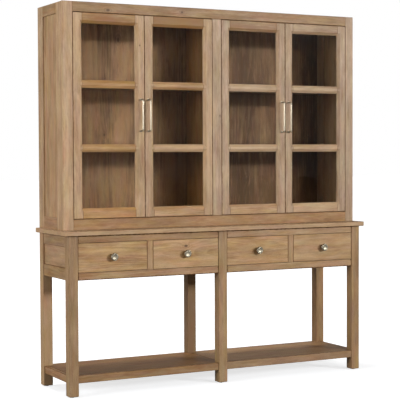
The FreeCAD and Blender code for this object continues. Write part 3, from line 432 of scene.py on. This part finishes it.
NO_KNOT = (OFF_THE_BOARD, OFF_THE_BOARD, 0.01)
NOT_GLUED = (1.0, -OFF_THE_BOARD, OFF_THE_BOARD)
NO_INNER_ARRIS = (OFF_THE_BOARD, OFF_THE_BOARD)
BOTH_SIDES = 2.0
MIDDLE_BOARD = 0.01
SEEDS = 50


def glued_joint(free, along, across, centre, node_centre):
    """On which side of a board the next one is glued on, and where that joint stops."""
    inner = node_centre[across] - centre[across]
    side = BOTH_SIDES if abs(inner) < MIDDLE_BOARD else math.copysign(1.0, inner)
    return side, free[0] - centre[along], free[1] - centre[along]


def boards(node_name, body, material, round_edge=0.0012, grain=None, tones=(0.0,),
           warmths=(0.0,), gap_shade_and_grime_shares=(1.0,), knots=None, second_knots=None, free=None, free_across=0):
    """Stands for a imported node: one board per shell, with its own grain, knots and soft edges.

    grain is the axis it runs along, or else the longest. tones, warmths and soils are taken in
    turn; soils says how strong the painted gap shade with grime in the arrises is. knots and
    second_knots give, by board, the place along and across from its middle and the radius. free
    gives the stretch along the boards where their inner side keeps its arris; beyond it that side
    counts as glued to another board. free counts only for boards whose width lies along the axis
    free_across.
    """
    whole = bmesh.new()
    layers = {}
    for fact in BOARD_VECTORS:
        layers[fact] = whole.verts.layers.float_vector.new(f"board_{fact}")
    for fact in BOARD_NUMBERS:
        layers[fact] = whole.verts.layers.float.new(f"board_{fact}")
    node_low, node_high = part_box(node_name)
    node_centre = (node_low + node_high) / 2
    chance = random.Random(node_name)
    for index, shell in enumerate(closed_shells(node_name)):
        made = shell_mesh(shell)
        low = Vector(map(min, *[vertex.co for vertex in made.verts]))
        high = Vector(map(max, *[vertex.co for vertex in made.verts]))
        centre = (low + high) / 2
        half = (high - low) / 2
        if round_edge:
            soften(made, round_edge)
        order = sorted(range(3), key=lambda axis: -half[axis])
        if grain is not None:
            order = [grain] + [axis for axis in order if axis != grain]
        joint = NOT_GLUED
        if free and order[1] == free_across:
            joint = glued_joint(free, order[0], order[1], centre, node_centre)
        facts = {
            "half": Vector([half[axis] for axis in order]),
            "knot": Vector((knots or {}).get(index, NO_KNOT)),
            "second_knot": Vector((second_knots or {}).get(index, NO_KNOT)),
            "joint": Vector(joint),
            "seed": chance.random() * SEEDS,
            "tone": tones[index % len(tones)],
            "warmth": warmths[index % len(warmths)],
            "gap_shade_and_grime_share": gap_shade_and_grime_shares[index % len(gap_shade_and_grime_shares)],
        }
        fresh = {}
        for vertex in made.verts:
            copy = whole.verts.new(vertex.co)
            offset = vertex.co - centre
            copy[layers["place"]] = Vector([offset[axis] for axis in order])
            for fact, value in facts.items():
                copy[layers[fact]] = value
            fresh[vertex] = copy
        for face in made.faces:
            whole.faces.new([fresh[vertex] for vertex in face.verts])
        made.free()
    bmesh.ops.recalc_face_normals(whole, faces=whole.faces)
    for edge in whole.edges:
        edge.smooth = edge.calc_face_angle(0) < SHARP
    name = f"{node_name}_boards"
    mesh = bpy.data.meshes.new(name)
    whole.to_mesh(mesh)
    whole.free()
    piece = finished(name, mesh, body, material, [node_name])
    weights = piece.modifiers.new("Flat faces", "WEIGHTED_NORMAL")
    weights.keep_sharp = True
    weights.weight = 100


def finished(name, mesh, body, material, nodes=()):
    """A smooth piece from a mesh, riding on its body and standing for its nodes."""
    for polygon in mesh.polygons:
        polygon.use_smooth = True
    mesh.materials.append(material)
    piece = bpy.data.objects.new(name, mesh)
    bpy.context.scene.collection.objects.link(piece)
    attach(piece, body)
    if nodes:
        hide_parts(*nodes)
    return piece


POST_OAK = oak("Oiled oak, posts", pale=(0.41, 0.262, 0.138), dark=(0.21, 0.122, 0.056),
               ring_strength=0.22, gap_shade_and_grime=0.2)
# the back middle leg's dark tone is painted shade: it stands in the shadow under the drawers
POST_TONES_AND_SHADE = {"front_left": 0.15, "front_middle": 0.15, "front_right": 0.15, "back_left": -0.3,
              "back_middle": 0.9, "back_right": 0.2}
POST_WARMTHS = {"front_left": 0.2, "front_right": 0.35, "back_left": 0.2, "back_right": 0.5}
for post, tone in POST_TONES_AND_SHADE.items():
    boards(f"leg_{post}", "carcass", POST_OAK, round_edge=0.0022, tones=(tone,),
           warmths=(POST_WARMTHS.get(post, 0.0),))


# ---- glides -----------------------------------------------------------------------------------
# A nylon-faced nail glide is driven into the foot of each leg so that it slides on the floor.
# Each is a low turned disc with a rounded rim.
DULLED = 0.4
MOTTLE_ROUGHNESS = 0.15


def mottle_group():
    """Colour and roughness of a plain finish, with a faint cloud in both."""
    tree, given, result = new_group("Mottle", [
        ("Place", "Vector", None), ("Turns per metre", "Float", 300.0),
        ("Clean", "Color", None), ("Dull", "Color", None), ("Strength", "Float", 0.0),
        ("Roughness", "Float", 0.4),
    ], [("Color", "Color"), ("Roughness", "Float")])
    stretched = place_node(tree, "VectorMath",
                           {0: given["Place"], 3: given["Turns per metre"]}, operation="SCALE")
    cloud = noise_of(tree, stretched.outputs[0], turns=(1.0, 1.0, 1.0), detail=3.0)
    share = times(tree, cloud, given["Strength"])
    tree.links.new(blend(tree, share, given["Clean"], given["Dull"]), result["Color"])
    rough = plus(tree, swing(tree, cloud, MOTTLE_ROUGHNESS), given["Roughness"])
    tree.links.new(rough, result["Roughness"])
    return tree


MOTTLE = mottle_group()


def plain_finish(name, colour, roughness, metallic=0.0, mottle=0.0, turns=300.0):
    """A finish of metal or plastic with a faint mottle."""
    material = bpy.data.materials.new(name)
    material.use_nodes = True
    tree = material.node_tree
    shader = tree.nodes["Principled BSDF"]
    mottled = place_node(tree, "Group", node_tree=MOTTLE, sockets={
        "Place": place_node(tree, "TexCoord").outputs["Object"], "Turns per metre": turns,
        "Clean": (*colour, 1), "Dull": (*[part * DULLED for part in colour], 1),
        "Strength": mottle, "Roughness": roughness,
    }).outputs
    tree.links.new(mottled["Color"], shader.inputs["Base Color"])
    tree.links.new(mottled["Roughness"], shader.inputs["Roughness"])
    shader.inputs["Metallic"].default_value = metallic
    return material


def turned(name, profile, centre, axis, steps, body, material, nodes=()):
    """A turned piece: profile is a list of (radius, distance along axis) from centre."""
    made = bmesh.new()
    along = Vector(axis).normalized()
    side = along.orthogonal().normalized()
    other = along.cross(side)
    angles = [2 * math.pi * step / steps for step in range(steps)]
    rings = []
    for radius, distance in profile:
        middle = Vector(centre) + along * distance
        if radius == 0.0:
            rings.append([made.verts.new(middle)])
        else:
            spokes = [side * math.cos(angle) + other * math.sin(angle) for angle in angles]
            rings.append([made.verts.new(middle + spoke * radius) for spoke in spokes])
    for lower, upper in zip(rings, rings[1:]):
        for step in range(steps):
            beside = (step + 1) % steps
            corners = [lower[step % len(lower)], lower[beside % len(lower)],
                       upper[beside % len(upper)], upper[step % len(upper)]]
            made.faces.new(list(dict.fromkeys(corners)))
    bmesh.ops.recalc_face_normals(made, faces=made.faces)
    mesh = bpy.data.meshes.new(name)
    made.to_mesh(mesh)
    made.free()
    finished(name, mesh, body, material, nodes)


def arc_profile(radius, start, end, steps, middle):
    """Points of an arc as (radius, distance), from angle start to end in degrees."""
    angles = [math.radians(start + (end - start) * step / steps) for step in range(steps + 1)]
    return [(middle[0] + radius * math.cos(angle), middle[1] + radius * math.sin(angle))
            for angle in angles]


GLIDE_NYLON = plain_finish("Dark nylon", colour=(0.05, 0.042, 0.036), roughness=0.45, mottle=0.4)
GLIDE_RADIUS = 0.010
GLIDE_ROUNDING = 0.002
GLIDE_STEPS = 32
UPWARD = (0, 0, 1)
glide_low, glide_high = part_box("leg_glides")
glide_height = glide_high.z - glide_low.z
for row in ("front", "back"):
    for column in ("left", "middle", "right"):
        leg_low, leg_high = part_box(f"leg_{row}_{column}")
        under = ((leg_low.x + leg_high.x) / 2, (leg_low.y + leg_high.y) / 2, 0.0)
        rim = arc_profile(GLIDE_ROUNDING, start=-90, end=0, steps=4,
                          middle=(GLIDE_RADIUS - GLIDE_ROUNDING, GLIDE_ROUNDING))
        disc = [(0.0, 0.0)] + rim + [(GLIDE_RADIUS, glide_height), (0.0, glide_height)]
        stands_for = ["leg_glides"] if (row, column) == ("front", "left") else []
        turned(f"glide_{row}_{column}", disc, under, UPWARD, GLIDE_STEPS, "carcass",
               GLIDE_NYLON, stands_for)


# ---- lower shelf ------------------------------------------------------------------------------
# Oak rails run between the legs close to the floor, and two boards are let in flush between them
# and notched round the legs. The boards are glued up from narrow planks.
RAIL_OAK = oak("Oiled oak, rails", pale=(0.46, 0.285, 0.145), dark=(0.24, 0.13, 0.055),
               ring_strength=0.3)
SHELF_OAK = oak("Oiled oak, shelf", pale=(0.36, 0.225, 0.125), dark=(0.20, 0.115, 0.058),
                ring_width=0.016, ring_strength=0.3, streaks=1.5)
boards("lower_shelf_rails", "carcass", RAIL_OAK, round_edge=0.0015, tones=(0.35,),
       warmths=(0.3, 0.1, 0.2, -0.3, -0.3, 0.0, 0.0))
boards("lower_shelf_boards", "carcass", SHELF_OAK, round_edge=0.0008,
       tones=(0.35, -0.15), warmths=(1.3, 0.8))


# ---- drawer frame -----------------------------------------------------------------------------
# Oak rails above and below the drawers and a short upright between each pair make the frame
# that the drawer fronts close into. Bearers and kickers behind it carry the drawers.
# the rails' inner sides get no arris, so the wide, dark painted line lies only along their outer
# arrises; on the upper rails it is painted shadow under the overhanging top. The uprights carry
# only a faint painted gap shade.
FRAME_OAK = oak("Oiled oak, drawer frame", pale=(0.46, 0.285, 0.145), dark=(0.24, 0.13, 0.055),
                ring_strength=0.3, gap_shade_and_grime=1.0, line=0.004)
boards("drawer_face_frame", "carcass", FRAME_OAK, tones=(0.25, 0.2, 0.0, 0.1, 0.0, 0.05),
       warmths=(0.35, 0.2, 0.0, -0.35, 0.1, 0.0), free=NO_INNER_ARRIS, free_across=2,
       gap_shade_and_grime_shares=(1.0, 1.0, 0.3, 1.0, 1.0, 0.3))
INNER_OAK = oak("Plain oak, inside", pale=(0.38, 0.235, 0.132), dark=(0.20, 0.118, 0.06),
                ring_strength=0.3, streaks=1.5, gloss=0.2)
boards("drawer_bearers", "carcass", INNER_OAK)


# ---- base ends and back -----------------------------------------------------------------------
# Each end of the base is a thin oak panel framed by an upper and a lower rail between the legs.
# Two plain oak boards close the back behind the drawers.
boards("base_end_rails", "carcass", RAIL_OAK, grain=1, tones=(0.35, 0.15),
       warmths=(-0.6, -0.1))
PANEL_OAK = oak("Oiled oak, panels", pale=(0.47, 0.295, 0.162), dark=(0.25, 0.142, 0.068),
                ring_width=0.014, ring_strength=0.4, streaks=1.3)
boards("base_end_panels", "carcass", PANEL_OAK, grain=1)
boards("base_back_aprons", "carcass", PANEL_OAK)


# ---- base top ---------------------------------------------------------------------------------
# One thick oak top lies on the base and stands out past it all round. Its corners and edges are
# rounded over.
boards("base_top", "carcass", RAIL_OAK, round_edge=0, tones=(-0.25,), warmths=(-0.5,))


# ---- hutch carcass ----------------------------------------------------------------------------
# Framed oak ends, a top, a bottom, an upright partition and thin back panels make the case of
# the hutch. The inside is oiled a shade darker than the outside.
FACE_OAK = oak("Oiled oak, faces", pale=(0.53, 0.35, 0.2), dark=(0.28, 0.162, 0.078),
               ring_strength=0.28, gap_shade_and_grime=0.6)
PANEL_TONGUE = 0.01
end_panel_low, end_panel_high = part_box("hutch_end_panels")
boards("hutch_end_stiles", "carcass", FACE_OAK, tones=(0.15, 0.12), warmths=(0.0, -0.3),
       free=(end_panel_low.z + PANEL_TONGUE, end_panel_high.z - PANEL_TONGUE), free_across=1,
       gap_shade_and_grime_shares=(0.3,))
boards("hutch_end_rails", "carcass", FACE_OAK, grain=1, tones=(0.3, 0.7),
       warmths=(0.1, 0.2), gap_shade_and_grime_shares=(0.4,))
boards("hutch_end_panels", "carcass", PANEL_OAK)
boards("hutch_top", "carcass", INNER_OAK)
boards("hutch_bottom", "carcass", INNER_OAK)
# the partition's strong warmth is painted warm bounce light of the shaded inside
boards("hutch_partition", "carcass", INNER_OAK, warmths=(1.4,))
BACK_OAK = oak("Plain oak, back", pale=(0.33, 0.20, 0.112), dark=(0.10, 0.052, 0.025),
               ring_width=0.022, ring_strength=0.5, streaks=1.0, gloss=0.12, cracks=0.7)
# the back panels' extra warmth is painted warm bounce light of the shaded inside
boards("hutch_back_panels", "carcass", BACK_OAK, tones=(-0.05, 0.35),
       warmths=(0.6,), knots={0: (0.49, 0.008, 0.012), 1: (-0.39, -0.063, 0.012)},
       second_knots={0: (-0.10, -0.09, 0.008), 1: (-0.434, 0.397, 0.012)})


# ---- shelves ----------------------------------------------------------------------------------
# Two loose oak shelves lie in each half of the hutch, level with the glazing bars. Each rests on
# four zinc-plated steel pins.
def give_finish(node_name, material):
    """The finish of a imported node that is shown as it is."""
    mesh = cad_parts[node_name].data
    mesh.materials.clear()
    mesh.materials.append(material)


ZINC_STEEL = plain_finish("Zinc-plated steel", colour=(0.50, 0.50, 0.49), roughness=0.38,
                          metallic=1.0, mottle=0.3)
boards("hutch_shelves", "carcass", INNER_OAK)
give_finish("shelf_pins", ZINC_STEEL)


# ---- hinge pivots -----------------------------------------------------------------------------
# Over and under each door a plate of blackened steel is let into the face frame. The door turns
# on the pin that stands on it, with a washer between.
DARK_STEEL = plain_finish("Blackened steel", colour=(0.09, 0.075, 0.06), roughness=0.45,
                          metallic=1.0, mottle=0.4)
give_finish("hinge_pivots", DARK_STEEL)


# ---- face frame -------------------------------------------------------------------------------
# Wide oak stiles and rails frame the front of the hutch, with one broad stile in the middle. The
# outer corners are rounded from top to bottom.
OPENING_MARGIN = 0.004
door_low, door_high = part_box("door_1_stiles")
# beside the door openings the stiles keep their inner arris, which takes painted gap shade with
# grime
boards("face_frame_stiles", "carcass", FACE_OAK, tones=(-0.08, 0.2, 0.02),
       warmths=(0.0, -0.9, -0.6), knots={2: (0.01, 0.02, 0.004)},
       free=(door_low.z - OPENING_MARGIN, door_high.z + OPENING_MARGIN), gap_shade_and_grime_shares=(0.6, 0.8, 0.6))
boards("face_frame_rails", "carcass", RAIL_OAK, tones=(0.28, 0.3), warmths=(0.35, -0.3),
       knots={1: (-0.7227, -0.012, 0.009)}, second_knots={1: (-0.2383, 0.0, 0.007)})


# ---- catches ----------------------------------------------------------------------------------
# A magnetic catch for each door is screwed behind the top rail of the face frame. Its case is
# moulded from brown plastic and its magnet lies close behind the shut door.
CATCH_PLASTIC = plain_finish("Brown plastic", colour=(0.20, 0.13, 0.085), roughness=0.5,
                             mottle=0.2)
give_finish("door_catches", CATCH_PLASTIC)


# ---- doors ------------------------------------------------------------------------------------
# Four framed oak doors hold three panes each, set in a groove with a bevel round them. A pull
# bent from brass bar is screwed to the meeting stile, and steel leaves let into the ends of the
# hinge stile turn on the pivots.
GLASS_TINT = (0.93, 0.94, 0.92, 1)
GLASS_TINT_FOR_LAMPS = (0.90, 0.91, 0.89, 1)
GLASS_WAVES = {"turns": (9.0, 9.0, 5.0), "detail": 3.0}


def clear_glass():
    """Clear glass that lets the lamps through, faintly wavy."""
    material = bpy.data.materials.new("Wavy glass")
    material.use_nodes = True
    tree = material.node_tree
    shader = tree.nodes["Principled BSDF"]
    shader.inputs["Base Color"].default_value = GLASS_TINT
    shader.inputs["Transmission Weight"].default_value = 1.0
    shader.inputs["IOR"].default_value = 1.45
    shader.inputs["Roughness"].default_value = 0.02
    place = place_node(tree, "TexCoord").outputs["Object"]
    wave = noise_of(tree, place, **GLASS_WAVES)
    bump = place_node(tree, "Bump", {"Strength": 0.15, "Distance": 0.003, "Height": wave})
    tree.links.new(bump.outputs[0], shader.inputs["Normal"])
    open_to_lamps = place_node(tree, "BsdfTransparent", {"Color": GLASS_TINT_FOR_LAMPS})
    path = place_node(tree, "LightPath").outputs
    mix = place_node(tree, "MixShader", {0: path["Is Shadow Ray"], 1: shader.outputs[0],
                                         2: open_to_lamps.outputs[0]})
    tree.links.new(mix.outputs[0], tree.nodes["Material Output"].inputs["Surface"])
    return material


def domed_disc(radius, rim, rounding):
    """Profile of a low round head or collar: a flat back, an upright rim and a rounded edge."""
    edge = arc_profile(rounding, start=0, end=90, steps=3, middle=(radius - rounding, rim))
    return [(0.0, 0.0), (radius, 0.0)] + edge + [(0.0, rim + rounding)]


SCREW_HEAD = domed_disc(radius=0.0045, rim=0.001, rounding=0.0015)
SCREW_STEPS = 24
OUTWARD = (0, -1, 0)
INWARD = (0, 1, 0)


def screw(name, place, body):
    """The pan head of a zinc-plated screw that holds a pull or a knob from inside."""
    turned(name, SCREW_HEAD, place, INWARD, SCREW_STEPS, body, ZINC_STEEL)


WAVY_GLASS = clear_glass()
DOOR_OAK = oak("Oiled oak, doors", pale=(0.52, 0.342, 0.195), dark=(0.27, 0.155, 0.075),
               ring_strength=0.3)
PULL_METAL = plain_finish("Aged brass", colour=(0.50, 0.435, 0.33), roughness=0.38,
                          metallic=1.0, mottle=0.25)
PULL_RADIUS = 0.005
PULL_BEND = 0.012
PULL_BEND_STEPS = 8
PULL_STEPS = 24
PULL_COLLAR = domed_disc(radius=0.0078, rim=0.0015, rounding=0.0015)
PULL_COLLAR_STEPS = 32


def pull(door):
    """The pull: round bar bent to a D, with a turned collar where each end meets the door."""
    name = f"door_{door}_pull"
    body = f"door_{door}"
    low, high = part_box(name)
    stile_low, stile_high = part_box(f"door_{door}_stiles")
    x = (low.x + high.x) / 2
    bar_y = low.y + PULL_RADIUS
    bottom = low.z + PULL_RADIUS
    top = high.z - PULL_RADIUS
    path = [Vector((x, stile_low.y, bottom))]
    for step in range(PULL_BEND_STEPS + 1):
        angle = math.pi / 2 * step / PULL_BEND_STEPS
        path.append(Vector((x, bar_y + PULL_BEND - PULL_BEND * math.sin(angle),
                            bottom + PULL_BEND - PULL_BEND * math.cos(angle))))
    path += [Vector((point.x, point.y, bottom + top - point.z)) for point in reversed(path)]
    made = bmesh.new()
    rings = []
    sideways = Vector((1, 0, 0))
    angles = [2 * math.pi * step / PULL_STEPS for step in range(PULL_STEPS)]
    for index, point in enumerate(path):
        before = path[max(index - 1, 0)]
        after = path[min(index + 1, len(path) - 1)]
        outward = (after - before).normalized().cross(sideways)
        spokes = [sideways * math.cos(angle) + outward * math.sin(angle) for angle in angles]
        rings.append([made.verts.new(point + spoke * PULL_RADIUS) for spoke in spokes])
    for lower, upper in zip(rings, rings[1:]):
        for step in range(PULL_STEPS):
            beside = (step + 1) % PULL_STEPS
            made.faces.new([lower[step], lower[beside], upper[beside], upper[step]])
    made.faces.new(rings[0])
    made.faces.new(rings[-1])
    bmesh.ops.recalc_face_normals(made, faces=made.faces)
    mesh = bpy.data.meshes.new(f"{name}_bar")
    made.to_mesh(mesh)
    made.free()
    finished(f"{name}_bar", mesh, body, PULL_METAL, [name])
    for end, z in (("bottom", bottom), ("top", top)):
        turned(f"{name}_collar_{end}", PULL_COLLAR, (x, stile_low.y, z), OUTWARD,
               PULL_COLLAR_STEPS, body, PULL_METAL)
        screw(f"{name}_screw_{end}", (x, stile_high.y, z), body)


# by door: the left and the right stile, and the rails from the lowest to the top one
STILE_TONES = {1: (0.0, 0.15), 2: (0.05, 0.05), 3: (0.0, 0.2), 4: (0.2, 0.25)}
STILE_WARMTH = {1: 0.0, 2: -0.1, 3: -0.7, 4: -0.85}
STILE_KNOTS = {1: {1: (0.42, 0.0, 0.004)}}
RAIL_TONES = {1: (-0.1, 0.1, 0.1, 0.65), 2: (0.0, -0.2, 0.1, 0.95), 3: (-0.15, -0.45, -0.15, 0.7),
              4: (-0.1, -0.15, -0.2, 0.25)}
RAIL_WARMTHS = {1: (1.4, 0.9, 1.0, 0.8), 2: (0.65, 0.0, 0.4, 0.9), 3: (0.2, -0.3, -0.7, 0.2),
                4: (-0.1, -0.2, -0.75, -0.7)}
for door in (1, 2, 3, 4):
    body = f"door_{door}"
    boards(f"{body}_stiles", body, DOOR_OAK, round_edge=0.001, tones=STILE_TONES[door],
           warmths=(STILE_WARMTH[door],), knots=STILE_KNOTS.get(door), free=NO_INNER_ARRIS)
    boards(f"{body}_rails", body, DOOR_OAK, round_edge=0.001, tones=RAIL_TONES[door],
           warmths=RAIL_WARMTHS[door])
    give_finish(f"{body}_glass", WAVY_GLASS)
    pull(door)
    give_finish(f"{body}_hinge_leaves", DARK_STEEL)


# ---- drawers ----------------------------------------------------------------------------------
# Each drawer has an oak front with the grain running across and a plain box behind it. A round
# cast knob with a dished face stands on a waisted neck, held by one screw from inside.
FRONT_OAK = oak("Oiled oak, drawer fronts", pale=(0.52, 0.325, 0.158),
                dark=(0.27, 0.148, 0.058), ring_width=0.013, ring_strength=0.45, streaks=1.1,
                gap_shade_and_grime=0.3)
FRONT_TONES = {1: 0.0, 2: 0.0, 3: -0.1, 4: 0.0}
FRONT_KNOTS = {2: {0: (-0.001, 0.045, 0.009)}}
PEWTER = plain_finish("Pewter", colour=(0.30, 0.265, 0.20), roughness=0.38, metallic=1.0,
                      mottle=0.25, turns=120.0)
# radius and distance from the front, from the foot of the knob up its neck
KNOB_NECK = [(0.0, 0.0), (0.0105, 0.0), (0.0105, 0.002), (0.0095, 0.003), (0.0072, 0.0042),
             (0.0062, 0.007), (0.0064, 0.0105), (0.009, 0.0165)]
KNOB_RIM = 0.006
KNOB_RIM_INNER = 1.65
KNOB_DISH_DEPTH = 0.004
KNOB_DISH_RADIUS = 0.060
KNOB_DISH_STEPS = 8
KNOB_STEPS = 48


def dish_depth(radius):
    """How far the dished face lies behind the rim of the knob."""
    return KNOB_DISH_DEPTH - KNOB_DISH_RADIUS + math.sqrt(KNOB_DISH_RADIUS ** 2 - radius ** 2)


def knob(drawer):
    """The knob and the screw that holds it."""
    body = f"drawer_{drawer}"
    front_low, front_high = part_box(f"{body}_front")
    low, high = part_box(f"{body}_knob")
    x = (low.x + high.x) / 2
    z = (low.z + high.z) / 2
    reach = front_low.y - low.y
    radius = (high.z - low.z) / 2
    profile = KNOB_NECK + arc_profile(KNOB_RIM, start=-75, end=130, steps=12,
                                      middle=(radius - KNOB_RIM, reach - KNOB_RIM))
    edge = radius - KNOB_RIM_INNER * KNOB_RIM
    for step in range(KNOB_DISH_STEPS + 1):
        here = edge * (1 - step / KNOB_DISH_STEPS)
        profile.append((here, reach - dish_depth(here)))
    turned(f"{body}_knob_head", profile, (x, front_low.y, z), OUTWARD, KNOB_STEPS, body, PEWTER,
           [f"{body}_knob"])
    screw(f"{body}_knob_screw", (x, front_high.y, z), body)


for drawer in (1, 2, 3, 4):
    body = f"drawer_{drawer}"
    boards(f"{body}_front", body, FRONT_OAK, round_edge=0.0015,
           tones=(FRONT_TONES[drawer],), knots=FRONT_KNOTS.get(drawer))
    boards(f"{body}_box", body, INNER_OAK, round_edge=0.0008)
    knob(drawer)


# ---- studio -----------------------------------------------------------------------------------
# A white floor runs into a white surround. Five softboxes light the piece: a key on the right of
# the front, a broad fill on the left, a faint one close to the left doors, one near the middle
# of the front, and one high up behind.
FLOOR_GLOW = 0.735
FLOOR_FADE_STARTS = 1.6
FLOOR_FADE_ENDS = 5.0
FLOOR_SEEN = (0.59, 0.61, 0.64, 1)
FLOOR_UNSEEN = (0.30, 0.30, 0.30, 1)
FLOOR_HALF = 60.0
FAR_FRONT_STARTS = 9.0
FAR_FRONT_ENDS = 14.0
FLOOR_MIRRORED = 0.4
MIRROR_FADE_STARTS = 4.0
MIRROR_FADE_ENDS = 9.0
WHITE = (1, 1, 1, 1)


def shown(tree, through, mirrored):
    """Two strengths of a surround: seen straight or through a pane, and with its sheen as well.

    The sheen is what metal and glass mirror. Wood gets neither, so that the whites don't light it.
    """
    path = place_node(tree, "LightPath").outputs
    before_wood = calc(tree, "LESS_THAN", path["Diffuse Depth"], 0.5)
    panes = times(tree, path["Is Transmission Ray"], times(tree, through, before_wood))
    straight = calc(tree, "MAXIMUM", path["Is Camera Ray"], panes)
    sheen = times(tree, path["Is Glossy Ray"], times(tree, mirrored, before_wood))
    return straight, calc(tree, "MAXIMUM", straight, sheen)


def floor_paint():
    """White paint that keeps the shadow but is otherwise as white as the surround."""
    material = bpy.data.materials.new("Floor paint")
    material.use_nodes = True
    tree = material.node_tree
    tree.nodes.remove(tree.nodes["Principled BSDF"])
    place = place_node(tree, "TexCoord").outputs["Object"]
    away = place_node(tree, "VectorMath", {0: place}, operation="LENGTH").outputs["Value"]
    depth = place_node(tree, "SeparateXYZ", {0: place}).outputs[1]

    # what the rear face of a pane mirrors counts as seen through it, so the far front is left out
    in_front = calc(tree, "LESS_THAN", depth, 0.0)
    far_front = smooth_mask(tree, away, FAR_FRONT_STARTS, FAR_FRONT_ENDS)
    through = minus(tree, 1.0, times(tree, in_front, far_front))
    mirrored = calc(tree, "MULTIPLY_ADD",
                    smooth_mask(tree, away, MIRROR_FADE_STARTS, MIRROR_FADE_ENDS),
                    -FLOOR_MIRRORED, FLOOR_MIRRORED)
    straight, seen = shown(tree, through, mirrored)
    matt = place_node(tree, "BsdfDiffuse", {"Color": blend(tree, straight, FLOOR_UNSEEN,
                                                           FLOOR_SEEN)})
    far = smooth_mask(tree, away, FLOOR_FADE_STARTS, FLOOR_FADE_ENDS)
    level = calc(tree, "MULTIPLY_ADD", far, 1 - FLOOR_GLOW, FLOOR_GLOW)
    glow = place_node(tree, "Emission", {"Color": WHITE, "Strength": times(tree, seen, level)})
    both = place_node(tree, "AddShader", {0: matt.outputs[0], 1: glow.outputs[0]})
    tree.links.new(both.outputs[0], tree.nodes["Material Output"].inputs["Surface"])
    return material


floor_corners = [(x * FLOOR_HALF, y * FLOOR_HALF, 0)
                 for x, y in ((-1, -1), (1, -1), (1, 1), (-1, 1))]
floor_mesh = bpy.data.meshes.new("floor")
floor_mesh.from_pydata(floor_corners, [], [(0, 1, 2, 3)])
floor_mesh.materials.append(floor_paint())
floor = bpy.data.objects.new("floor", floor_mesh)
bpy.context.scene.collection.objects.link(floor)

# the surround: a little warm air light for wood, white behind the piece for eye and glass, and
# a sheen for metal that is stronger behind the piece than in front of it
AIR_LIGHT = 0.09
AIR_COLOUR = (1.0, 0.93, 0.83, 1)
MIRRORED_IN_FRONT = 0.03
MIRRORED_BEHIND = 0.45
MIRROR_HEADING_STARTS = -0.75
MIRROR_HEADING_ENDS = 0.15
BEHIND_STARTS = -0.5
BEHIND_ENDS = -0.1
FAINTEST_SEEN = 0.01
world = bpy.data.worlds.new("Studio")
bpy.context.scene.world = world
world.use_nodes = True
tree = world.node_tree
direction = place_node(tree, "TexCoord").outputs["Generated"]
heading = place_node(tree, "SeparateXYZ", {0: direction}).outputs[1]
mirrored = calc(tree, "MULTIPLY_ADD",
                smooth_mask(tree, heading, MIRROR_HEADING_STARTS, MIRROR_HEADING_ENDS),
                MIRRORED_BEHIND - MIRRORED_IN_FRONT, MIRRORED_IN_FRONT)
behind = smooth_mask(tree, heading, BEHIND_STARTS, BEHIND_ENDS)
seen = shown(tree, behind, mirrored)[1]
background = tree.nodes["Background"].inputs
tree.links.new(calc(tree, "MAXIMUM", seen, AIR_LIGHT), background["Strength"])
in_view = calc(tree, "GREATER_THAN", seen, FAINTEST_SEEN)
tree.links.new(blend(tree, in_view, AIR_COLOUR, WHITE), background["Color"])


def softbox(name, place, aim, width, height, power):
    """A rectangular softbox turned to a point."""
    data = bpy.data.lights.new(name, "AREA")
    data.shape = "RECTANGLE"
    data.size = width
    data.size_y = height
    data.energy = power
    lamp = bpy.data.objects.new(name, data)
    bpy.context.scene.collection.objects.link(lamp)
    lamp.location = place
    lamp.rotation_mode = "QUATERNION"
    lamp.rotation_quaternion = (Vector(aim) - Vector(place)).to_track_quat("-Z", "Y")


softbox("key", place=(8.7, -12.9, 4.3), aim=(0.0, 0.0, 1.5), width=1.0, height=1.0, power=1300)
softbox("fill", place=(-11.0, -1.8, 3.0), aim=(0.0, 0.0, 1.2), width=4.4, height=3.6, power=730)
softbox("bounce", place=(-2.6, -2.1, 2.4), aim=(-0.7, 0.0, 1.8), width=0.8, height=0.8, power=10)
softbox("front", place=(1.9, -8.0, 3.5), aim=(0.3, 0.0, 1.5), width=0.9, height=0.6, power=185)
softbox("high", place=(-1.0, 2.6, 9.0), aim=(0.0, 0.0, 0.0), width=2.6, height=1.8, power=430)

# the camera stands at chest height on the left of the front; angles in radians, lens in mm
CAMERA_PLACE = Vector((-3.5987, -6.7656, 1.3926))
CAMERA_YAW = 0.48435
CAMERA_PITCH = 0.036046
CAMERA_ROLL = -0.0041424
CAMERA_LENS = 110.3076
CAMERA_SENSOR = 36.0
ahead = Vector((math.sin(CAMERA_YAW) * math.cos(CAMERA_PITCH),
                math.cos(CAMERA_YAW) * math.cos(CAMERA_PITCH), -math.sin(CAMERA_PITCH)))
level = Vector((math.cos(CAMERA_YAW), -math.sin(CAMERA_YAW), 0))
above = level.cross(ahead)
right = math.cos(CAMERA_ROLL) * level + math.sin(CAMERA_ROLL) * above
up = -math.sin(CAMERA_ROLL) * level + math.cos(CAMERA_ROLL) * above
camera_data = bpy.data.cameras.new("camera")
camera_data.sensor_width = CAMERA_SENSOR
camera_data.lens = CAMERA_LENS
camera = bpy.data.objects.new("camera", camera_data)
bpy.context.scene.collection.objects.link(camera)
camera.matrix_world = Matrix((
    (right.x, up.x, -ahead.x, CAMERA_PLACE.x),
    (right.y, up.y, -ahead.y, CAMERA_PLACE.y),
    (right.z, up.z, -ahead.z, CAMERA_PLACE.z),
    (0, 0, 0, 1),
))
bpy.context.scene.camera = camera
bpy.context.scene.view_settings.view_transform = "Standard"
